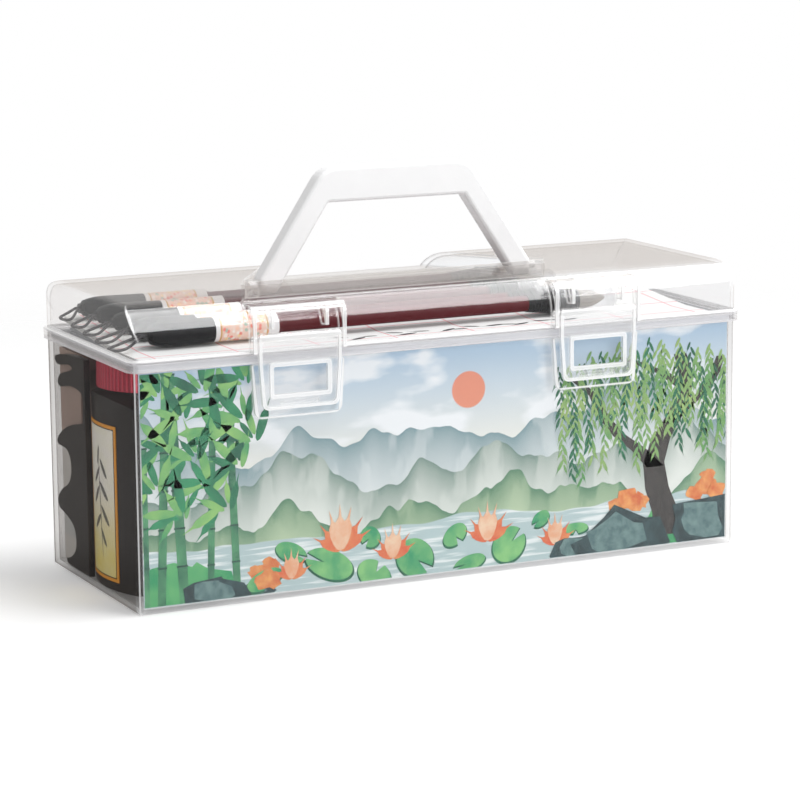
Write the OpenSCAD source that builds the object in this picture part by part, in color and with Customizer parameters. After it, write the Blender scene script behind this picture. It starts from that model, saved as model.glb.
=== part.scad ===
// Clear carry case for a calligraphy set. A hinged lid has a folding handle and two snap latches.
// A shallow tray carries paper and five brushes, and ink, a brush rest and cartons stand in the tub.
// Millimetres. X runs along the case, Y towards its hinge, Z up, from under the middle of the case.

/* [Tub] */
// Length of the tub, outside
case_l = 326.8; // [300:0.2:360]
// Depth of the tub from front to back, outside
case_w = 121.8; // [118:0.2:140]
// Height of the tub's rim
tub_h = 119.6; // [112:0.2:140]
// Thickness of the tub's walls below the tray
wall = 2.5; // [2:0.1:3]
// Thickness of the tub's walls above the ledge that carries the tray
rim_wall = 1.6; // [1.2:0.1:1.8]
// Thickness of the tub's floor
floor_t = 2.5; // [1.6:0.1:4]
// Radius of the upright corners
corner_r = 4; // [3.6:0.2:8]
// Radius of the edges round the tub's base
base_r = 3; // [1.5:0.5:4]
// Depth of the ledge below the rim
ledge_drop = 3.8; // [3.2:0.1:6]

/* [Lid] */
// Height of the lid's flat top above the tub's rim
lid_rise = 26.4; // [24:0.1:34]
// Thickness of the lid
lid_wall = 1.6; // [1.2:0.1:2]
// Radius of the lid's long top edges
lid_curve = 17; // [12:0.5:20]
// Radius of the lid's short top edges
lid_end_curve = 4; // [2.5:0.5:6]
// Gap between the lid's shoulder and the tub's rim
lid_seat_gap = 0.2; // [0.1:0.05:0.4]
// Gap between the lid's skirt and the tub's walls
skirt_gap = 0.4; // [0.3:0.05:0.6]
// Thickness of the lid's skirt
skirt_t = 1.6; // [1.2:0.1:2]
// How far the skirt reaches below the rim
skirt_drop = 3.6; // [3:0.1:4.2]
// How far the skirt's band rises above the rim
skirt_rise = 1.7; // [1.2:0.1:2.4]

/* [Hinge] */
// Distance of each hinge from the middle of the case
hinge_x = 85; // [70:1:110]
// Radius of the hinge pins
pin_r = 1; // [0.8:0.05:1.2]
// Running clearance of pins and trunnions, on the radius
bore_clear = 0.05; // [0.03:0.01:0.09]
// Radius of the hinge knuckles
knuckle_r = 2.2; // [2:0.05:2.4]
// Width of the lid's knuckle
lid_knuckle_w = 18; // [12:0.5:24]
// Width of each of the tub's knuckles
tub_knuckle_w = 10; // [7:0.5:14]
// Gap between neighbouring knuckles
knuckle_gap = 0.3; // [0.2:0.05:0.6]
// Height of the hinge axis below the tub's rim
hinge_drop = 2.6; // [2.4:0.1:3]

/* [Handle] */
// Half of the handle's width at its feet
handle_foot = 74.9; // [70:0.1:80]
// Half of the handle's width along its top edge
handle_top = 39.6; // [36:0.2:46]
// Height of the handle's top edge above its pivots
handle_reach = 56.3; // [50:0.1:58]
// Height of the grip bar
grip_h = 17.6; // [14:0.2:20]
// Width of a leg, measured along X
leg_w = 13.8; // [12:0.2:18]
// Thickness of the handle
handle_t = 10.4; // [8:0.2:11]
// Radius of the handle's upper outer corners
handle_corner_r = 13; // [8:0.5:16]
// Radius that rounds the handle's edges
handle_edge_r = 2.2; // [1.2:0.2:2.6]
// Radius of the handle's trunnions
trunnion_r = 2; // [1.6:0.1:2.4]
// Length of a trunnion beyond the foot
trunnion_l = 4; // [3:0.2:5]

/* [Handle pocket] */
// Depth of the pocket in the lid's top
pocket_depth = 8.2; // [7:0.1:9]
// Gap between the folded handle and the pocket's sides
pocket_side_gap = 5; // [4.6:0.1:7]
// Gap between the handle's feet and the pocket's front and floor
foot_gap = 0.4; // [0.3:0.05:0.8]
// Gap between a foot and the ear that carries it
ear_gap = 0.6; // [0.4:0.1:0.8]

/* [Latches] */
// Distance of each latch from the middle of the case
latch_x = 80.6; // [70:0.2:100]
// Width of a latch flap at the rim
flap_w = 42.4; // [36:0.2:46]
// Width of a latch flap at its lower edge
flap_tip_w = 39.2; // [34:0.2:41]
// Length of a latch flap below its pivot
flap_drop = 34.2; // [31:0.2:38]
// Thickness of a latch flap, without its raised rims
flap_t = 1.5; // [1.2:0.1:1.7]
// Height of the latch pivot above the rim
latch_rise = 8.2; // [7.5:0.1:10]
// Radius of a flap's trunnions
flap_trunnion_r = 1.2; // [1:0.05:1.4]
// Width of the window in a flap
window_w = 28; // [22:0.5:30]
// Height of the window in a flap
window_h = 13.2; // [10:0.2:14]
// Depth of the window's middle below the pivot
window_drop = 20.4; // [19:0.2:22]
// Width of the raised frame round the window
frame_w = 1.9; // [1.4:0.1:2.4]
// Height of the latch housing above the pivot
housing_rise = 15.4; // [14:0.2:16]
// Thickness of the housing's cheeks and of its top
cheek_t = 1.8; // [1.4:0.1:2.2]
// Height of the housing's front edge above its opening
visor_h = 3; // [2:0.1:5]
// Thickness of the two ribs in the housing
rib_t = 1.6; // [1.2:0.1:2]
// Distance of the ribs from the latch's middle
rib_x = 14; // [10:0.5:16]
// Radius of a latch flap's upper corners
flap_corner_r = 2.8; // [2:0.1:3]
// Radius of the bead that snaps over the strike plate's lower edge
bead_r = 0.8; // [0.4:0.05:0.9]
// Thickness of the strike plate on the tub
strike_t = 1.7; // [1.4:0.05:1.9]

/* [Tray and paper] */
// Thickness of the tray's floor
tray_floor = 1.4; // [1.2:0.1:1.8]
// Thickness of the tray's lip
tray_lip = 1.4; // [1:0.1:2]
// Gap between the tray and the tub's walls
tray_gap = 0.3; // [0.2:0.05:0.5]
// Height of the tray's lip below the tub's rim
tray_sink = 0.3; // [0.2:0.1:0.6]
// Thickness of the folded practice paper
paper_t = 2.4; // [1.6:0.2:3]
// Margin between the paper and the tray's lip
paper_margin = 4; // [2:0.5:10]
// Margin between the felt mat's ends and the paper's
felt_margin = 3; // [1:0.5:10]
// Thickness of the felt mat along its front edge
felt_front_t = 0.6; // [0.4:0.1:1.2]
// Thickness of the printed card behind the front wall
card_t = 0.6; // [0.4:0.1:1]
// Gap between the printed card and the walls round it
card_gap = 0.4; // [0.3:0.1:1]

/* [Brushes] */
// Number of brushes
brush_n = 5; // [3:1:5]
// Distance between neighbouring brushes
brush_pitch = 16.6; // [15:0.2:17]
// Distance of the front brush from the middle of the case
brush_front = 22; // [18:0.5:24]
// How far each brush lies further left than the one before it
brush_stagger = 2.4; // [0:0.2:2.6]
// Distance of the front brush's end from the left end of the tub
brush_inset = 21.4; // [20:0.2:26]
// Radius of the front brush's end knob
knob_r = 6.6; // [5.8:0.1:7]
// Length of the end knob
knob_l = 34; // [28:0.5:38]
// Length of the printed sleeve
sleeve_l = 33; // [26:0.5:38]
// Length of the bare shaft
shaft_l = 138; // [120:1:144]
// Radius of the front brush's shaft
shaft_r = 4; // [3.4:0.1:4.4]
// Length of the ferrule
ferrule_l = 28; // [24:0.5:30]
// Length of the taper at the ferrule's start
ferrule_taper = 15; // [10:0.5:18]
// Length of the shaft's tenon in the ferrule
tenon_l = 8; // [5:0.5:10]
// Radius of the front brush's ferrule
ferrule_r = 6.1; // [5.4:0.1:6.3]
// Length of the bristles beyond the ferrule
bristle_l = 18; // [14:0.5:19]
// Depth of the bristles' seat in the ferrule
bristle_seat = 4; // [2:0.5:6]
// Length of the clear brush cap
brush_cap_l = 34; // [33:0.5:38]
// Distance of the cap's mouth from the ferrule's start
brush_cap_seat = 16; // [15:0.5:18]
// Wall of the clear brush cap
brush_cap_wall = 0.7; // [0.5:0.05:1]
// Size of the four rear brushes' thickness next to the front one's
slim = 0.82; // [0.76:0.01:0.84]
// Gap between the rear brushes and the underside of the handle pocket
brush_head_gap = 0.6; // [0.4:0.1:1.2]
// Diameter of the hanging loops' cord
loop_d = 1.4; // [1.2:0.1:1.6]

/* [Ink bottle] */
// Width of the bottle, along X
bottle_w = 58; // [54:0.5:64]
// Depth of the bottle, along Y
bottle_d = 66; // [60:0.5:70]
// Radius of the bottle's bulging faces
bottle_bulge = 60; // [50:1:90]
// Radius that rounds the bottle's corners
bottle_corner_r = 36; // [35:0.5:38]
// Thickness of the bottle's wall
bottle_wall = 1.6; // [1.2:0.1:2.4]
// Distance of the bottle's middle in front of the case's middle
bottle_front = 5; // [4:0.5:8]
// Radius of the neck
neck_r = 23.6; // [20:0.2:24]
// Height of the neck
neck_h = 12.4; // [10:0.2:13]
// Radius of the cap
ink_cap_r = 28.2; // [25.4:0.2:28.6]
// Height of the cap
ink_cap_h = 14.4; // [13.6:0.2:16]
// Gap between the cap and the tray above it
ink_cap_gap = 1.1; // [0.6:0.1:2]
// Width of the bottle's label
label_w = 33; // [24:1:40]
// Height of the bottle's label
label_h = 76.5; // [60:0.5:80]
// Thickness of the bottle's label
label_t = 0.3; // [0.2:0.05:0.4]

/* [Rest and cartons] */
// Thickness of the brush rest
rest_t = 3; // [2:0.2:3.2]
// Gap between the brush rest's longest lobe and the back wall
rest_back_gap = 1; // [0.8:0.1:6]
// Gap between things that stand side by side in the tub
stand_gap = 0.3; // [0.2:0.05:0.5]
// Gap between the tub's floor or a wall and what stands at it
seat_gap = 0.2; // [0.1:0.05:0.3]
// Gap between the brush rest's upper end and the tray
rest_head_gap = 5.2; // [3:0.2:12]
// Length of the cartons behind the rest, along X
carton_l = 44; // [30:1:60]
// Gap between the bottle and the cartons behind it
carton_gap = 0.4; // [0.2:0.1:6]
// Height of the lower carton
pale_carton_h = 66; // [50:1:74]
// Gap between the upper carton and the tray
carton_head_gap = 5; // [3:0.5:8]

/* [Hidden] */
BRUSH_PARTS = ["knob", "shaft", "sleeve", "ferrule", "bristles", "cap", "loop"];
$fn = 64;

cut = 0.02; // overshoot that keeps boolean cuts clean
bed_gap = 0.1; // under whatever lies on the paper
far = 400; // longer than anything in the case

ledge_z = tub_h - ledge_drop;
lid_l = case_l + 2 * lid_seat_gap;
lid_w = case_w + 2 * lid_seat_gap;
lid_z = tub_h + lid_seat_gap;
lid_top = tub_h + lid_rise;
skirt_in_l = case_l + 2 * skirt_gap;
skirt_in_w = case_w + 2 * skirt_gap;
skirt_z = tub_h - skirt_drop;
skirt_h = skirt_drop + skirt_rise;

hinge_y = case_w / 2 + skirt_gap + knuckle_r;
hinge_z = tub_h - hinge_drop;
knuckle_off = lid_knuckle_w / 2 + knuckle_gap + tub_knuckle_w / 2;
hinge_half = lid_knuckle_w / 2 + knuckle_gap + tub_knuckle_w;

pocket_z = lid_top - pocket_depth;
pocket_under = pocket_z - lid_wall;
pivot_z = pocket_z + foot_gap + handle_t / 2;
pocket_front = -handle_t / 2 - foot_gap;
foot_flat = handle_t * 0.3;
leg_slope = (handle_foot - handle_top) / (handle_reach - foot_flat);

flap_pad = (flap_w - flap_tip_w) / 2;
latch_y = -(lid_w / 2 + lid_seat_gap + knuckle_r);
latch_z = tub_h + latch_rise;
cheek_gap = 1;
housing_half = flap_w / 2 + cheek_gap + cheek_t;
housing_r = 6;
rib_foot = knuckle_r * 2;
strike_y = -case_w / 2 - strike_t;
strike_top = skirt_z - lid_seat_gap * 3;
strike_low = latch_z - flap_drop - 4.4;

tray_l = case_l - 2 * (rim_wall + tray_gap);
tray_w = case_w - 2 * (rim_wall + tray_gap);
tray_z = ledge_z + seat_gap / 2;
tray_top = tub_h - tray_sink;
bed_z = tray_z + tray_floor + cut;
paper_l = tray_l - 2 * (tray_lip + paper_margin);
paper_y0 = -tray_w / 2 + tray_lip + 1;
paper_y1 = tray_w / 2 - tray_lip - 1;

in_l = case_l / 2 - wall;
in_w = case_w / 2 - wall;
brush_x = -case_l / 2 + brush_inset;
brush_ys = [for (i = [0:brush_n - 1]) i * brush_pitch - brush_front];
// The rear brush just clears the pocket with its shaft and ferrule, and the felt slopes up to carry it
rear_z = pocket_under - brush_head_gap - (shaft_r + ferrule_r) / 2 * slim;
bed_front = bed_z + paper_t;
bed_back = rear_z - lie_r(1) - bed_gap;
bed_y0 = -brush_front - knob_r * 0.3;
bed_slope = (bed_back - bed_front) / (brush_ys[brush_n - 1] - bed_y0);

bottle_x = -in_l + seat_gap + label_t + cut + bottle_w / 2;
bottle_z = floor_t + seat_gap;
ink_cap_z = ledge_z - ink_cap_gap - ink_cap_h;
shoulder_z = ink_cap_z - 0.8;
shoulder_h = 7;

rest_x = -in_l + seat_gap;
// The rest starts where the bottle's rounded side leaves room for it
rest_y = bottle_d * 0.288 - bottle_front;
rest_d = in_w - rest_back_gap - rest_y;
rest_h = ledge_z - rest_head_gap - floor_t;
carton_x = rest_x + rest_t + stand_gap;
carton_y = bottle_d / 2 - bottle_front + carton_gap;
carton_d = in_w - seat_gap - carton_y;

// Outline of the brush rest, from its foot up its lobed side: [share of depth, share of height]
REST_OUTLINE = [
    [0.00, 0.00], [0.62, 0.00], [0.76, 0.025], [0.62, 0.04], [0.45, 0.085], [0.41, 0.14],
    [0.49, 0.20], [0.72, 0.233], [0.96, 0.255], [0.99, 0.295], [0.85, 0.345], [0.62, 0.388],
    [0.52, 0.445], [0.53, 0.505], [0.66, 0.548], [0.93, 0.553], [0.95, 0.58], [0.80, 0.622],
    [0.60, 0.657], [0.37, 0.682], [0.11, 0.705], [0.07, 0.75], [0.08, 0.83], [0.22, 0.85],
    [0.50, 0.853], [0.80, 0.83], [0.89, 0.85], [0.80, 0.89], [0.50, 0.921], [0.39, 0.94],
    [0.54, 0.948], [0.88, 0.93], [0.96, 0.965], [0.63, 0.99], [0.31, 1.00], [0.00, 1.00]
];
// Route of a hanging loop from its brush's end: [share of its reach, mm across, share of its droop]
LOOP_ROUTE = [
    [0.00, 1.6, 0.0], [0.12, 1.6, 0.0], [0.38, 4.0, 0.45], [0.66, 6.2, 0.85], [0.90, 4.6, 1.0],
    [1.00, 0.0, 1.0], [0.90, -4.6, 1.0], [0.66, -6.2, 0.85], [0.38, -4.0, 0.45],
    [0.12, -1.6, 0.0], [0.00, -1.6, 0.0]
];
loop_half = 7;
loop_steps = 2;
tenon_share = 0.8; // of the shaft's radius
ferrule_lip = 0.8; // wall round the bristles

function unit(v) = v / norm(v);
// Points of the arc that rounds the corner b between a and c with radius r
function fillet(a, b, c, r, n = 6) =
    let (
        u = unit(a - b),
        v = unit(c - b),
        half = acos(u * v) / 2,
        s = b + u * r / tan(half),
        e = b + v * r / tan(half),
        o = b + unit(u + v) * r / sin(half),
        a0 = atan2((s - o)[1], (s - o)[0]),
        a1 = atan2((e - o)[1], (e - o)[0]),
        turn = (a1 - a0) > 180 ? a1 - a0 - 360 : (a1 - a0) < -180 ? a1 - a0 + 360 : a1 - a0
    )
    [for (i = [0:n]) o + r * [cos(a0 + turn * i / n), sin(a0 + turn * i / n)]];
// A polygon's points with every corner rounded by its own radius, or left sharp where that is 0
function rounded(pts, radii, n = 6) =
    let (m = len(pts))
    [for (i = [0:m - 1]) each radii[i] == 0
        ? [pts[i]]
        : fillet(pts[(i + m - 1) % m], pts[i], pts[(i + 1) % m], radii[i], n)];
// A smooth curve through b and c, with a and d as its neighbours
function spline_at(a, b, c, d, t) =
    0.5 * (2 * b + (c - a) * t + (2 * a - 5 * b + 4 * c - d) * t * t + (3 * b - a - 3 * c + d) * t * t * t);
function spline(pts, n) =
    let (m = len(pts))
    concat(
        [for (i = [0:m - 2], j = [0:n - 1])
            spline_at(pts[max(i - 1, 0)], pts[i], pts[i + 1], pts[min(i + 2, m - 1)], j / n)],
        [pts[m - 1]]
    );

function leg_out(d) = handle_foot - leg_slope * (d - foot_flat);
function thick(i) = i == 0 ? 1 : slim;
function brush_end(i) = brush_x - i * brush_stagger;
function bed_at(y) = y < bed_y0 ? bed_front : bed_front + (y - bed_y0) * bed_slope;
// A brush lies on its widest piece, the end knob or the clear cap
function lie_r(i) = max(knob_r * thick(i), ferrule_r * thick(i) + bore_clear + brush_cap_wall);
function brush_z(i) = bed_at(brush_ys[i]) + lie_r(i) + bed_gap;

// A rectangle with round corners, made of true arcs
module plan(l, w, r) {
    square([l - 2 * r, w], center = true);
    square([l, w - 2 * r], center = true);
    for (x = [-1, 1], y = [-1, 1]) {
        translate([x * (l / 2 - r), y * (w / 2 - r)]) circle(r);
    }
}

// A rectangle from z0 to z1 whose two lower corners, or two upper ones, are round
module front_view(w, z0, z1, r, low) {
    round_z = low ? z0 + r : z1 - r;
    square_z = low ? round_z : z0;
    translate([-w / 2, square_z]) square([w, z1 - z0 - r]);
    translate([-w / 2 + r, z0]) square([w - 2 * r, z1 - z0]);
    for (x = [-1, 1]) {
        translate([x * (w / 2 - r), round_z]) circle(r);
    }
}

module along_y(l) {
    rotate([90, 0, 0]) linear_extrude(l, center = true) children();
}

module along_x(l) {
    rotate([90, 0, 90]) linear_extrude(l, center = true) children();
}

// A block that is round at its upright corners and along its lower or upper edges
module block(l, w, z0, z1, r_plan, r_long, r_short, low) {
    intersection() {
        translate([0, 0, z0]) linear_extrude(z1 - z0) plan(l, w, r_plan);
        along_x(far) front_view(w, z0, z1, r_long, low);
        along_y(far) front_view(l, z0, z1, r_short, low);
    }
}

// A rod along X between x0 and x1
module rod_x(x0, x1, r) {
    translate([x0, 0, 0]) rotate([0, 90, 0]) cylinder(h = x1 - x0, r = r);
}

// A piece turned about X, from [x, radius] pairs
module turned(profile) {
    rotate([0, 90, 0]) rotate_extrude() polygon([for (p = profile) [p[1], p[0]]]);
}

module at_hinge(side) {
    translate([side * hinge_x, hinge_y, hinge_z]) children();
}

module at_latch(side) {
    translate([side * latch_x, latch_y, latch_z]) children();
}

module strike_plate() {
    height = strike_top - strike_low;
    width = 2 * housing_half;
    translate([0, strike_y, strike_low]) rotate([90, 0, 0]) mirror([0, 0, 1])
        linear_extrude(strike_t + rim_wall / 2)
            polygon(rounded([[-width / 2, height], [width / 2, height], [width / 2 - flap_pad, 0],
                [-width / 2 + flap_pad, 0]], [1, 1, 4, 4]));
}

// A tub knuckle with the bracket that carries it on the back wall
module tub_knuckle() {
    rod_x(-tub_knuckle_w / 2, tub_knuckle_w / 2, knuckle_r);
    inset = -skirt_gap - knuckle_r - rim_wall / 2;
    along_x(tub_knuckle_w) polygon([[inset, -3 * knuckle_r], [inset, knuckle_r], [0, knuckle_r],
        [0, -knuckle_r]]);
}

module tub() {
    color([0.86, 0.88, 0.9, 0.45]) difference() {
        union() {
            block(case_l, case_w, 0, tub_h, corner_r, base_r, base_r, true);
            for (s = [-1, 1]) {
                translate([s * latch_x, 0, 0]) strike_plate();
                for (k = [-1, 1]) {
                    at_hinge(s) translate([k * knuckle_off, 0, 0]) tub_knuckle();
                }
            }
        }
        translate([0, 0, floor_t]) linear_extrude(far) plan(2 * in_l, 2 * in_w, corner_r - wall);
        translate([0, 0, ledge_z]) linear_extrude(far)
            plan(case_l - 2 * rim_wall, case_w - 2 * rim_wall, corner_r - rim_wall);
        for (s = [-1, 1]) {
            at_hinge(s) rod_x(-hinge_half - 1, hinge_half + 1, pin_r + bore_clear);
        }
    }
}

// The outline of the handle's pocket seen from above, grown by g
module pocket_plan(g) {
    back = lid_w / 2 + 3;
    reach = g * norm([1, leg_slope]);
    front_half = leg_out(pocket_front) + pocket_side_gap + reach;
    back_half = leg_out(back) + pocket_side_gap + reach;
    polygon(rounded([[-front_half, pocket_front - g], [front_half, pocket_front - g], [back_half, back],
        [-back_half, back]], [3 + g, 3 + g, 0, 0], 4));
}

// An ear in the pocket's corner that a foot of the handle turns in
module handle_ear(side) {
    inner = handle_foot + ear_gap;
    outer = leg_out(0) + pocket_side_gap + lid_wall;
    half = trunnion_r + bore_clear + 2;
    translate([side > 0 ? inner : -outer, -half, pocket_under])
        cube([outer - inner, 2 * half, pocket_depth + lid_wall - 0.2]);
}

// Side view of a latch housing, from the pivot: y and z
module housing_side(inset) {
    front = -knuckle_r + inset;
    top = housing_rise - inset;
    foot = skirt_rise - latch_rise - 0.5;
    polygon(rounded([[knuckle_r + 1, foot], [front, foot], [front, top], [knuckle_r * 7, top],
        [knuckle_r * 7, 0]], [0, 0, housing_r - inset, 0, 0]));
}

// A latch housing on the lid's front, open at the front, with cheeks, a top and two ribs
module latch_housing() {
    for (s = [-1, 1]) {
        translate([s * (housing_half - cheek_t / 2), 0, 0]) along_x(cheek_t) housing_side(0);
        translate([s * rib_x, 0, rib_foot]) intersection() {
            translate([0, 0, -rib_foot]) along_x(rib_t) housing_side(0);
            translate([-far / 2, -far / 2, 0]) cube(far);
        }
    }
    difference() {
        along_x(2 * housing_half) housing_side(0);
        along_x(far) housing_side(cheek_t);
        translate([-far / 2, -far, -far]) cube([far, 2 * far, far + housing_rise - visor_h]);
    }
}

// Room for a tub knuckle where the lid's skirt passes it
module knuckle_notch() {
    width = tub_knuckle_w + 2 * knuckle_gap;
    rod_x(-width / 2, width / 2, knuckle_r + knuckle_gap);
    translate([-width / 2, -skirt_gap - knuckle_r, -far / 2])
        cube([width, 2 * knuckle_r + skirt_t, far / 2 + knuckle_r + knuckle_gap]);
}

module lid() {
    in_top = lid_top - lid_wall;
    color([0.9, 0.92, 0.94, 0.35]) difference() {
        union() {
            difference() {
                union() {
                    block(lid_l, lid_w, lid_z, lid_top, corner_r, lid_curve, lid_end_curve, false);
                    for (s = [-1, 1]) {
                        at_latch(s) latch_housing();
                    }
                    translate([0, 0, skirt_z]) linear_extrude(skirt_h) plan(
                        skirt_in_l + 2 * skirt_t, skirt_in_w + 2 * skirt_t, corner_r + skirt_gap + skirt_t);
                }
                block(lid_l - 2 * lid_wall, lid_w - 2 * lid_wall, 0, in_top, corner_r - lid_wall,
                    lid_curve - lid_wall, lid_end_curve - lid_wall, false);
                translate([0, 0, skirt_z - cut]) linear_extrude(skirt_drop + lid_seat_gap + cut)
                    plan(skirt_in_l, skirt_in_w, corner_r + skirt_gap);
            }
            intersection() {
                block(lid_l, lid_w, lid_z, lid_top, corner_r, lid_curve, lid_end_curve, false);
                translate([0, 0, pocket_under]) linear_extrude(far) pocket_plan(lid_wall);
            }
            for (s = [-1, 1]) {
                at_hinge(s) rod_x(-lid_knuckle_w / 2, lid_knuckle_w / 2, knuckle_r);
            }
        }
        difference() {
            translate([0, 0, pocket_z]) linear_extrude(far) pocket_plan(0);
            handle_ear(-1);
            handle_ear(1);
        }
        translate([0, 0, pivot_z]) rod_x(-handle_foot - trunnion_l - 0.4, handle_foot + trunnion_l + 0.4,
            trunnion_r + bore_clear);
        for (s = [-1, 1]) {
            at_latch(s) rod_x(-far / 16, far / 16, flap_trunnion_r + bore_clear);
            at_hinge(s) rod_x(-lid_knuckle_w, lid_knuckle_w, pin_r + bore_clear);
            for (k = [-1, 1]) {
                at_hinge(s) translate([k * knuckle_off, 0, 0]) knuckle_notch();
            }
        }
    }
}

// The handle's outline seen from the front, from its pivots
module handle_outline() {
    foot = -handle_t / 2;
    in_top = handle_reach - grip_h;
    polygon(rounded([[-handle_foot, foot], [-handle_foot, foot_flat], [-handle_top, handle_reach],
        [handle_top, handle_reach], [handle_foot, foot_flat], [handle_foot, foot],
        [leg_out(foot) - leg_w, foot], [leg_out(in_top) - leg_w, in_top],
        [-leg_out(in_top) + leg_w, in_top], [-leg_out(foot) + leg_w, foot]],
        [0, 0, handle_corner_r, handle_corner_r, 0, 0, 0, 1.2, 1.2, 0]));
}

module carry_handle() {
    r = handle_edge_r;
    color([0.95, 0.95, 0.96]) translate([0, 0, pivot_z]) {
        intersection() {
            minkowski() {
                along_y(handle_t - 2 * r) offset(delta = -r) handle_outline();
                sphere(r, $fn = 16);
            }
            union() {
                rod_x(-handle_foot, handle_foot, handle_t / 2);
                translate([-far / 2, -far / 2, 0]) cube(far);
            }
        }
        for (s = [0, 1]) {
            mirror([s, 0, 0]) rod_x(handle_foot - 4, handle_foot + trunnion_l, trunnion_r);
        }
    }
}

// A latch flap's outline, from its pivot downwards, taken in by g
module flap_outline(g) {
    half = flap_w / 2 - g;
    tip = flap_tip_w / 2 - g;
    kink = -latch_rise - skirt_drop;
    polygon(rounded([[-half, -knuckle_r / 2], [half, -knuckle_r / 2], [half, kink],
        [tip, -flap_drop + g], [-tip, -flap_drop + g], [-half, kink]], [0, 0, 0, 3, 3, 0]));
}

// The flap without its window: the rod at its pivot, its plate, raised rims and bead
module flap_body() {
    face = -knuckle_r + flap_t + 0.6;
    rod_x(-flap_w / 2, flap_w / 2, knuckle_r);
    translate([0, -knuckle_r + 0.6, 0]) rotate([90, 0, 0]) mirror([0, 0, 1])
        linear_extrude(flap_t) flap_outline(0);
    translate([0, -knuckle_r, 0]) rotate([90, 0, 0]) mirror([0, 0, 1]) linear_extrude(0.8) {
        difference() {
            flap_outline(0);
            flap_outline(1.4);
        }
        translate([0, -window_drop]) plan(window_w + 2 * frame_w, window_h + 2 * frame_w, 1.5);
    }
    // The bead that snaps past the strike plate lies just inside the lower edge
    translate([0, face - cut, -flap_drop + 2.6]) rod_x(-flap_tip_w / 4, flap_tip_w / 4, bead_r);
}

module latch(side) {
    win_z = -window_drop;
    color([0.93, 0.94, 0.96, 0.5]) at_latch(side) {
        difference() {
            intersection() {
                along_y(far) front_view(flap_w, -flap_drop, knuckle_r, flap_corner_r, false);
                flap_body();
            }
            translate([0, 0, win_z]) along_y(far) plan(window_w, window_h, 0.8);
        }
        for (s = [0, 1]) {
            mirror([s, 0, 0]) rod_x(flap_w / 2 - 1, flap_w / 2 + cheek_gap + cheek_t, flap_trunnion_r);
        }
    }
}

module hinge_pin(side) {
    color([0.7, 0.71, 0.73]) at_hinge(side) rod_x(-hinge_half, hinge_half, pin_r);
}

module tray() {
    in_r = corner_r - rim_wall - tray_gap;
    color([0.9, 0.91, 0.92]) difference() {
        translate([0, 0, tray_z]) linear_extrude(tray_top - tray_z) plan(tray_l, tray_w, in_r);
        translate([0, 0, tray_z + tray_floor]) linear_extrude(far)
            plan(tray_l - 2 * tray_lip, tray_w - 2 * tray_lip, in_r - tray_lip);
    }
}

// The felt is folded more often towards the back, so it is a wedge
module felt_mat() {
    y0 = bed_y0 + felt_front_t / bed_slope;
    y1 = paper_y1 - 1;
    color([0.6, 0.62, 0.64]) along_x(paper_l - 2 * felt_margin) polygon([[y0, bed_z], [y1, bed_z],
        [y1, bed_at(y1) - paper_t - cut], [y0, bed_at(y0) - paper_t - cut]]);
}

module practice_paper() {
    top_back = bed_at(paper_y1);
    color([0.95, 0.95, 0.94]) along_x(paper_l) polygon([[paper_y0, bed_z], [bed_y0, bed_z],
        [paper_y1, top_back - paper_t], [paper_y1, top_back], [bed_y0, bed_front], [paper_y0, bed_front]]);
}

module printed_card() {
    half = in_l - 3 * card_gap;
    low = floor_t + card_gap;
    color([0.55, 0.75, 0.6]) translate([-half, -in_w + seat_gap, low])
        cube([2 * half, card_t, ledge_z - low - 2 * card_gap]);
}

// The bottle's filled form up to its shoulder, taken in by g
module bottle_form(g) {
    top = shoulder_z - bottle_z - 2 * g;
    side = bottle_corner_r + 2;
    intersection() {
        linear_extrude(top) intersection_for (s = [-1, 1]) {
            intersection() {
                translate([s * (bottle_bulge - bottle_w / 2), 0]) circle(bottle_bulge - g);
                translate([0, s * (bottle_bulge - bottle_d / 2)]) circle(bottle_bulge - g);
                circle(bottle_corner_r - g);
            }
        }
        rotate_extrude() polygon(rounded([[0, 0], [side, 0], [side, top - shoulder_h],
            [neck_r + 1, top], [0, top]], [0, 0, 9, 0, 0]));
    }
}

module at_bottle() {
    translate([bottle_x, -bottle_front, bottle_z]) children();
}

module ink_bottle() {
    neck_top = ink_cap_z + neck_h - bottle_z;
    color([0.2, 0.18, 0.17]) at_bottle() difference() {
        union() {
            bottle_form(0);
            cylinder(h = neck_top, r = neck_r);
        }
        translate([0, 0, bottle_wall]) bottle_form(bottle_wall);
        translate([0, 0, shoulder_h]) cylinder(h = far, r = neck_r - bottle_wall);
    }
}

module ink() {
    color([0.05, 0.05, 0.06]) at_bottle() translate([0, 0, bottle_wall + cut])
        bottle_form(bottle_wall + 2 * cut);
}

module ink_cap() {
    color([0.7, 0.12, 0.16]) translate([bottle_x, -bottle_front, ink_cap_z]) difference() {
        rotate_extrude() polygon(rounded([[0, 0], [ink_cap_r, 0], [ink_cap_r - 0.4, ink_cap_h],
            [0, ink_cap_h]], [0, 0, 1.2, 0]));
        translate([0, 0, -cut]) cylinder(h = neck_h + 0.3, r = neck_r + bore_clear);
    }
}

module bottle_label() {
    inner = bottle_bulge + cut;
    low = 4.4;
    color([0.85, 0.72, 0.4]) at_bottle() translate([bottle_bulge - bottle_w / 2, 0, low])
        intersection() {
            linear_extrude(label_h) difference() {
                circle(inner + label_t);
                circle(inner);
            }
            translate([-far, -label_w / 2, 0]) cube([far, label_w, far]);
        }
}

module brush_rest() {
    color([0.24, 0.22, 0.2]) translate([rest_x, rest_y, floor_t + seat_gap])
        rotate([90, 0, 90]) linear_extrude(rest_t) intersection() {
            polygon([for (p = spline(REST_OUTLINE, 3)) [p[0] * rest_d, p[1] * rest_h]]);
            square([rest_d, rest_h]);
        }
}

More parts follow.
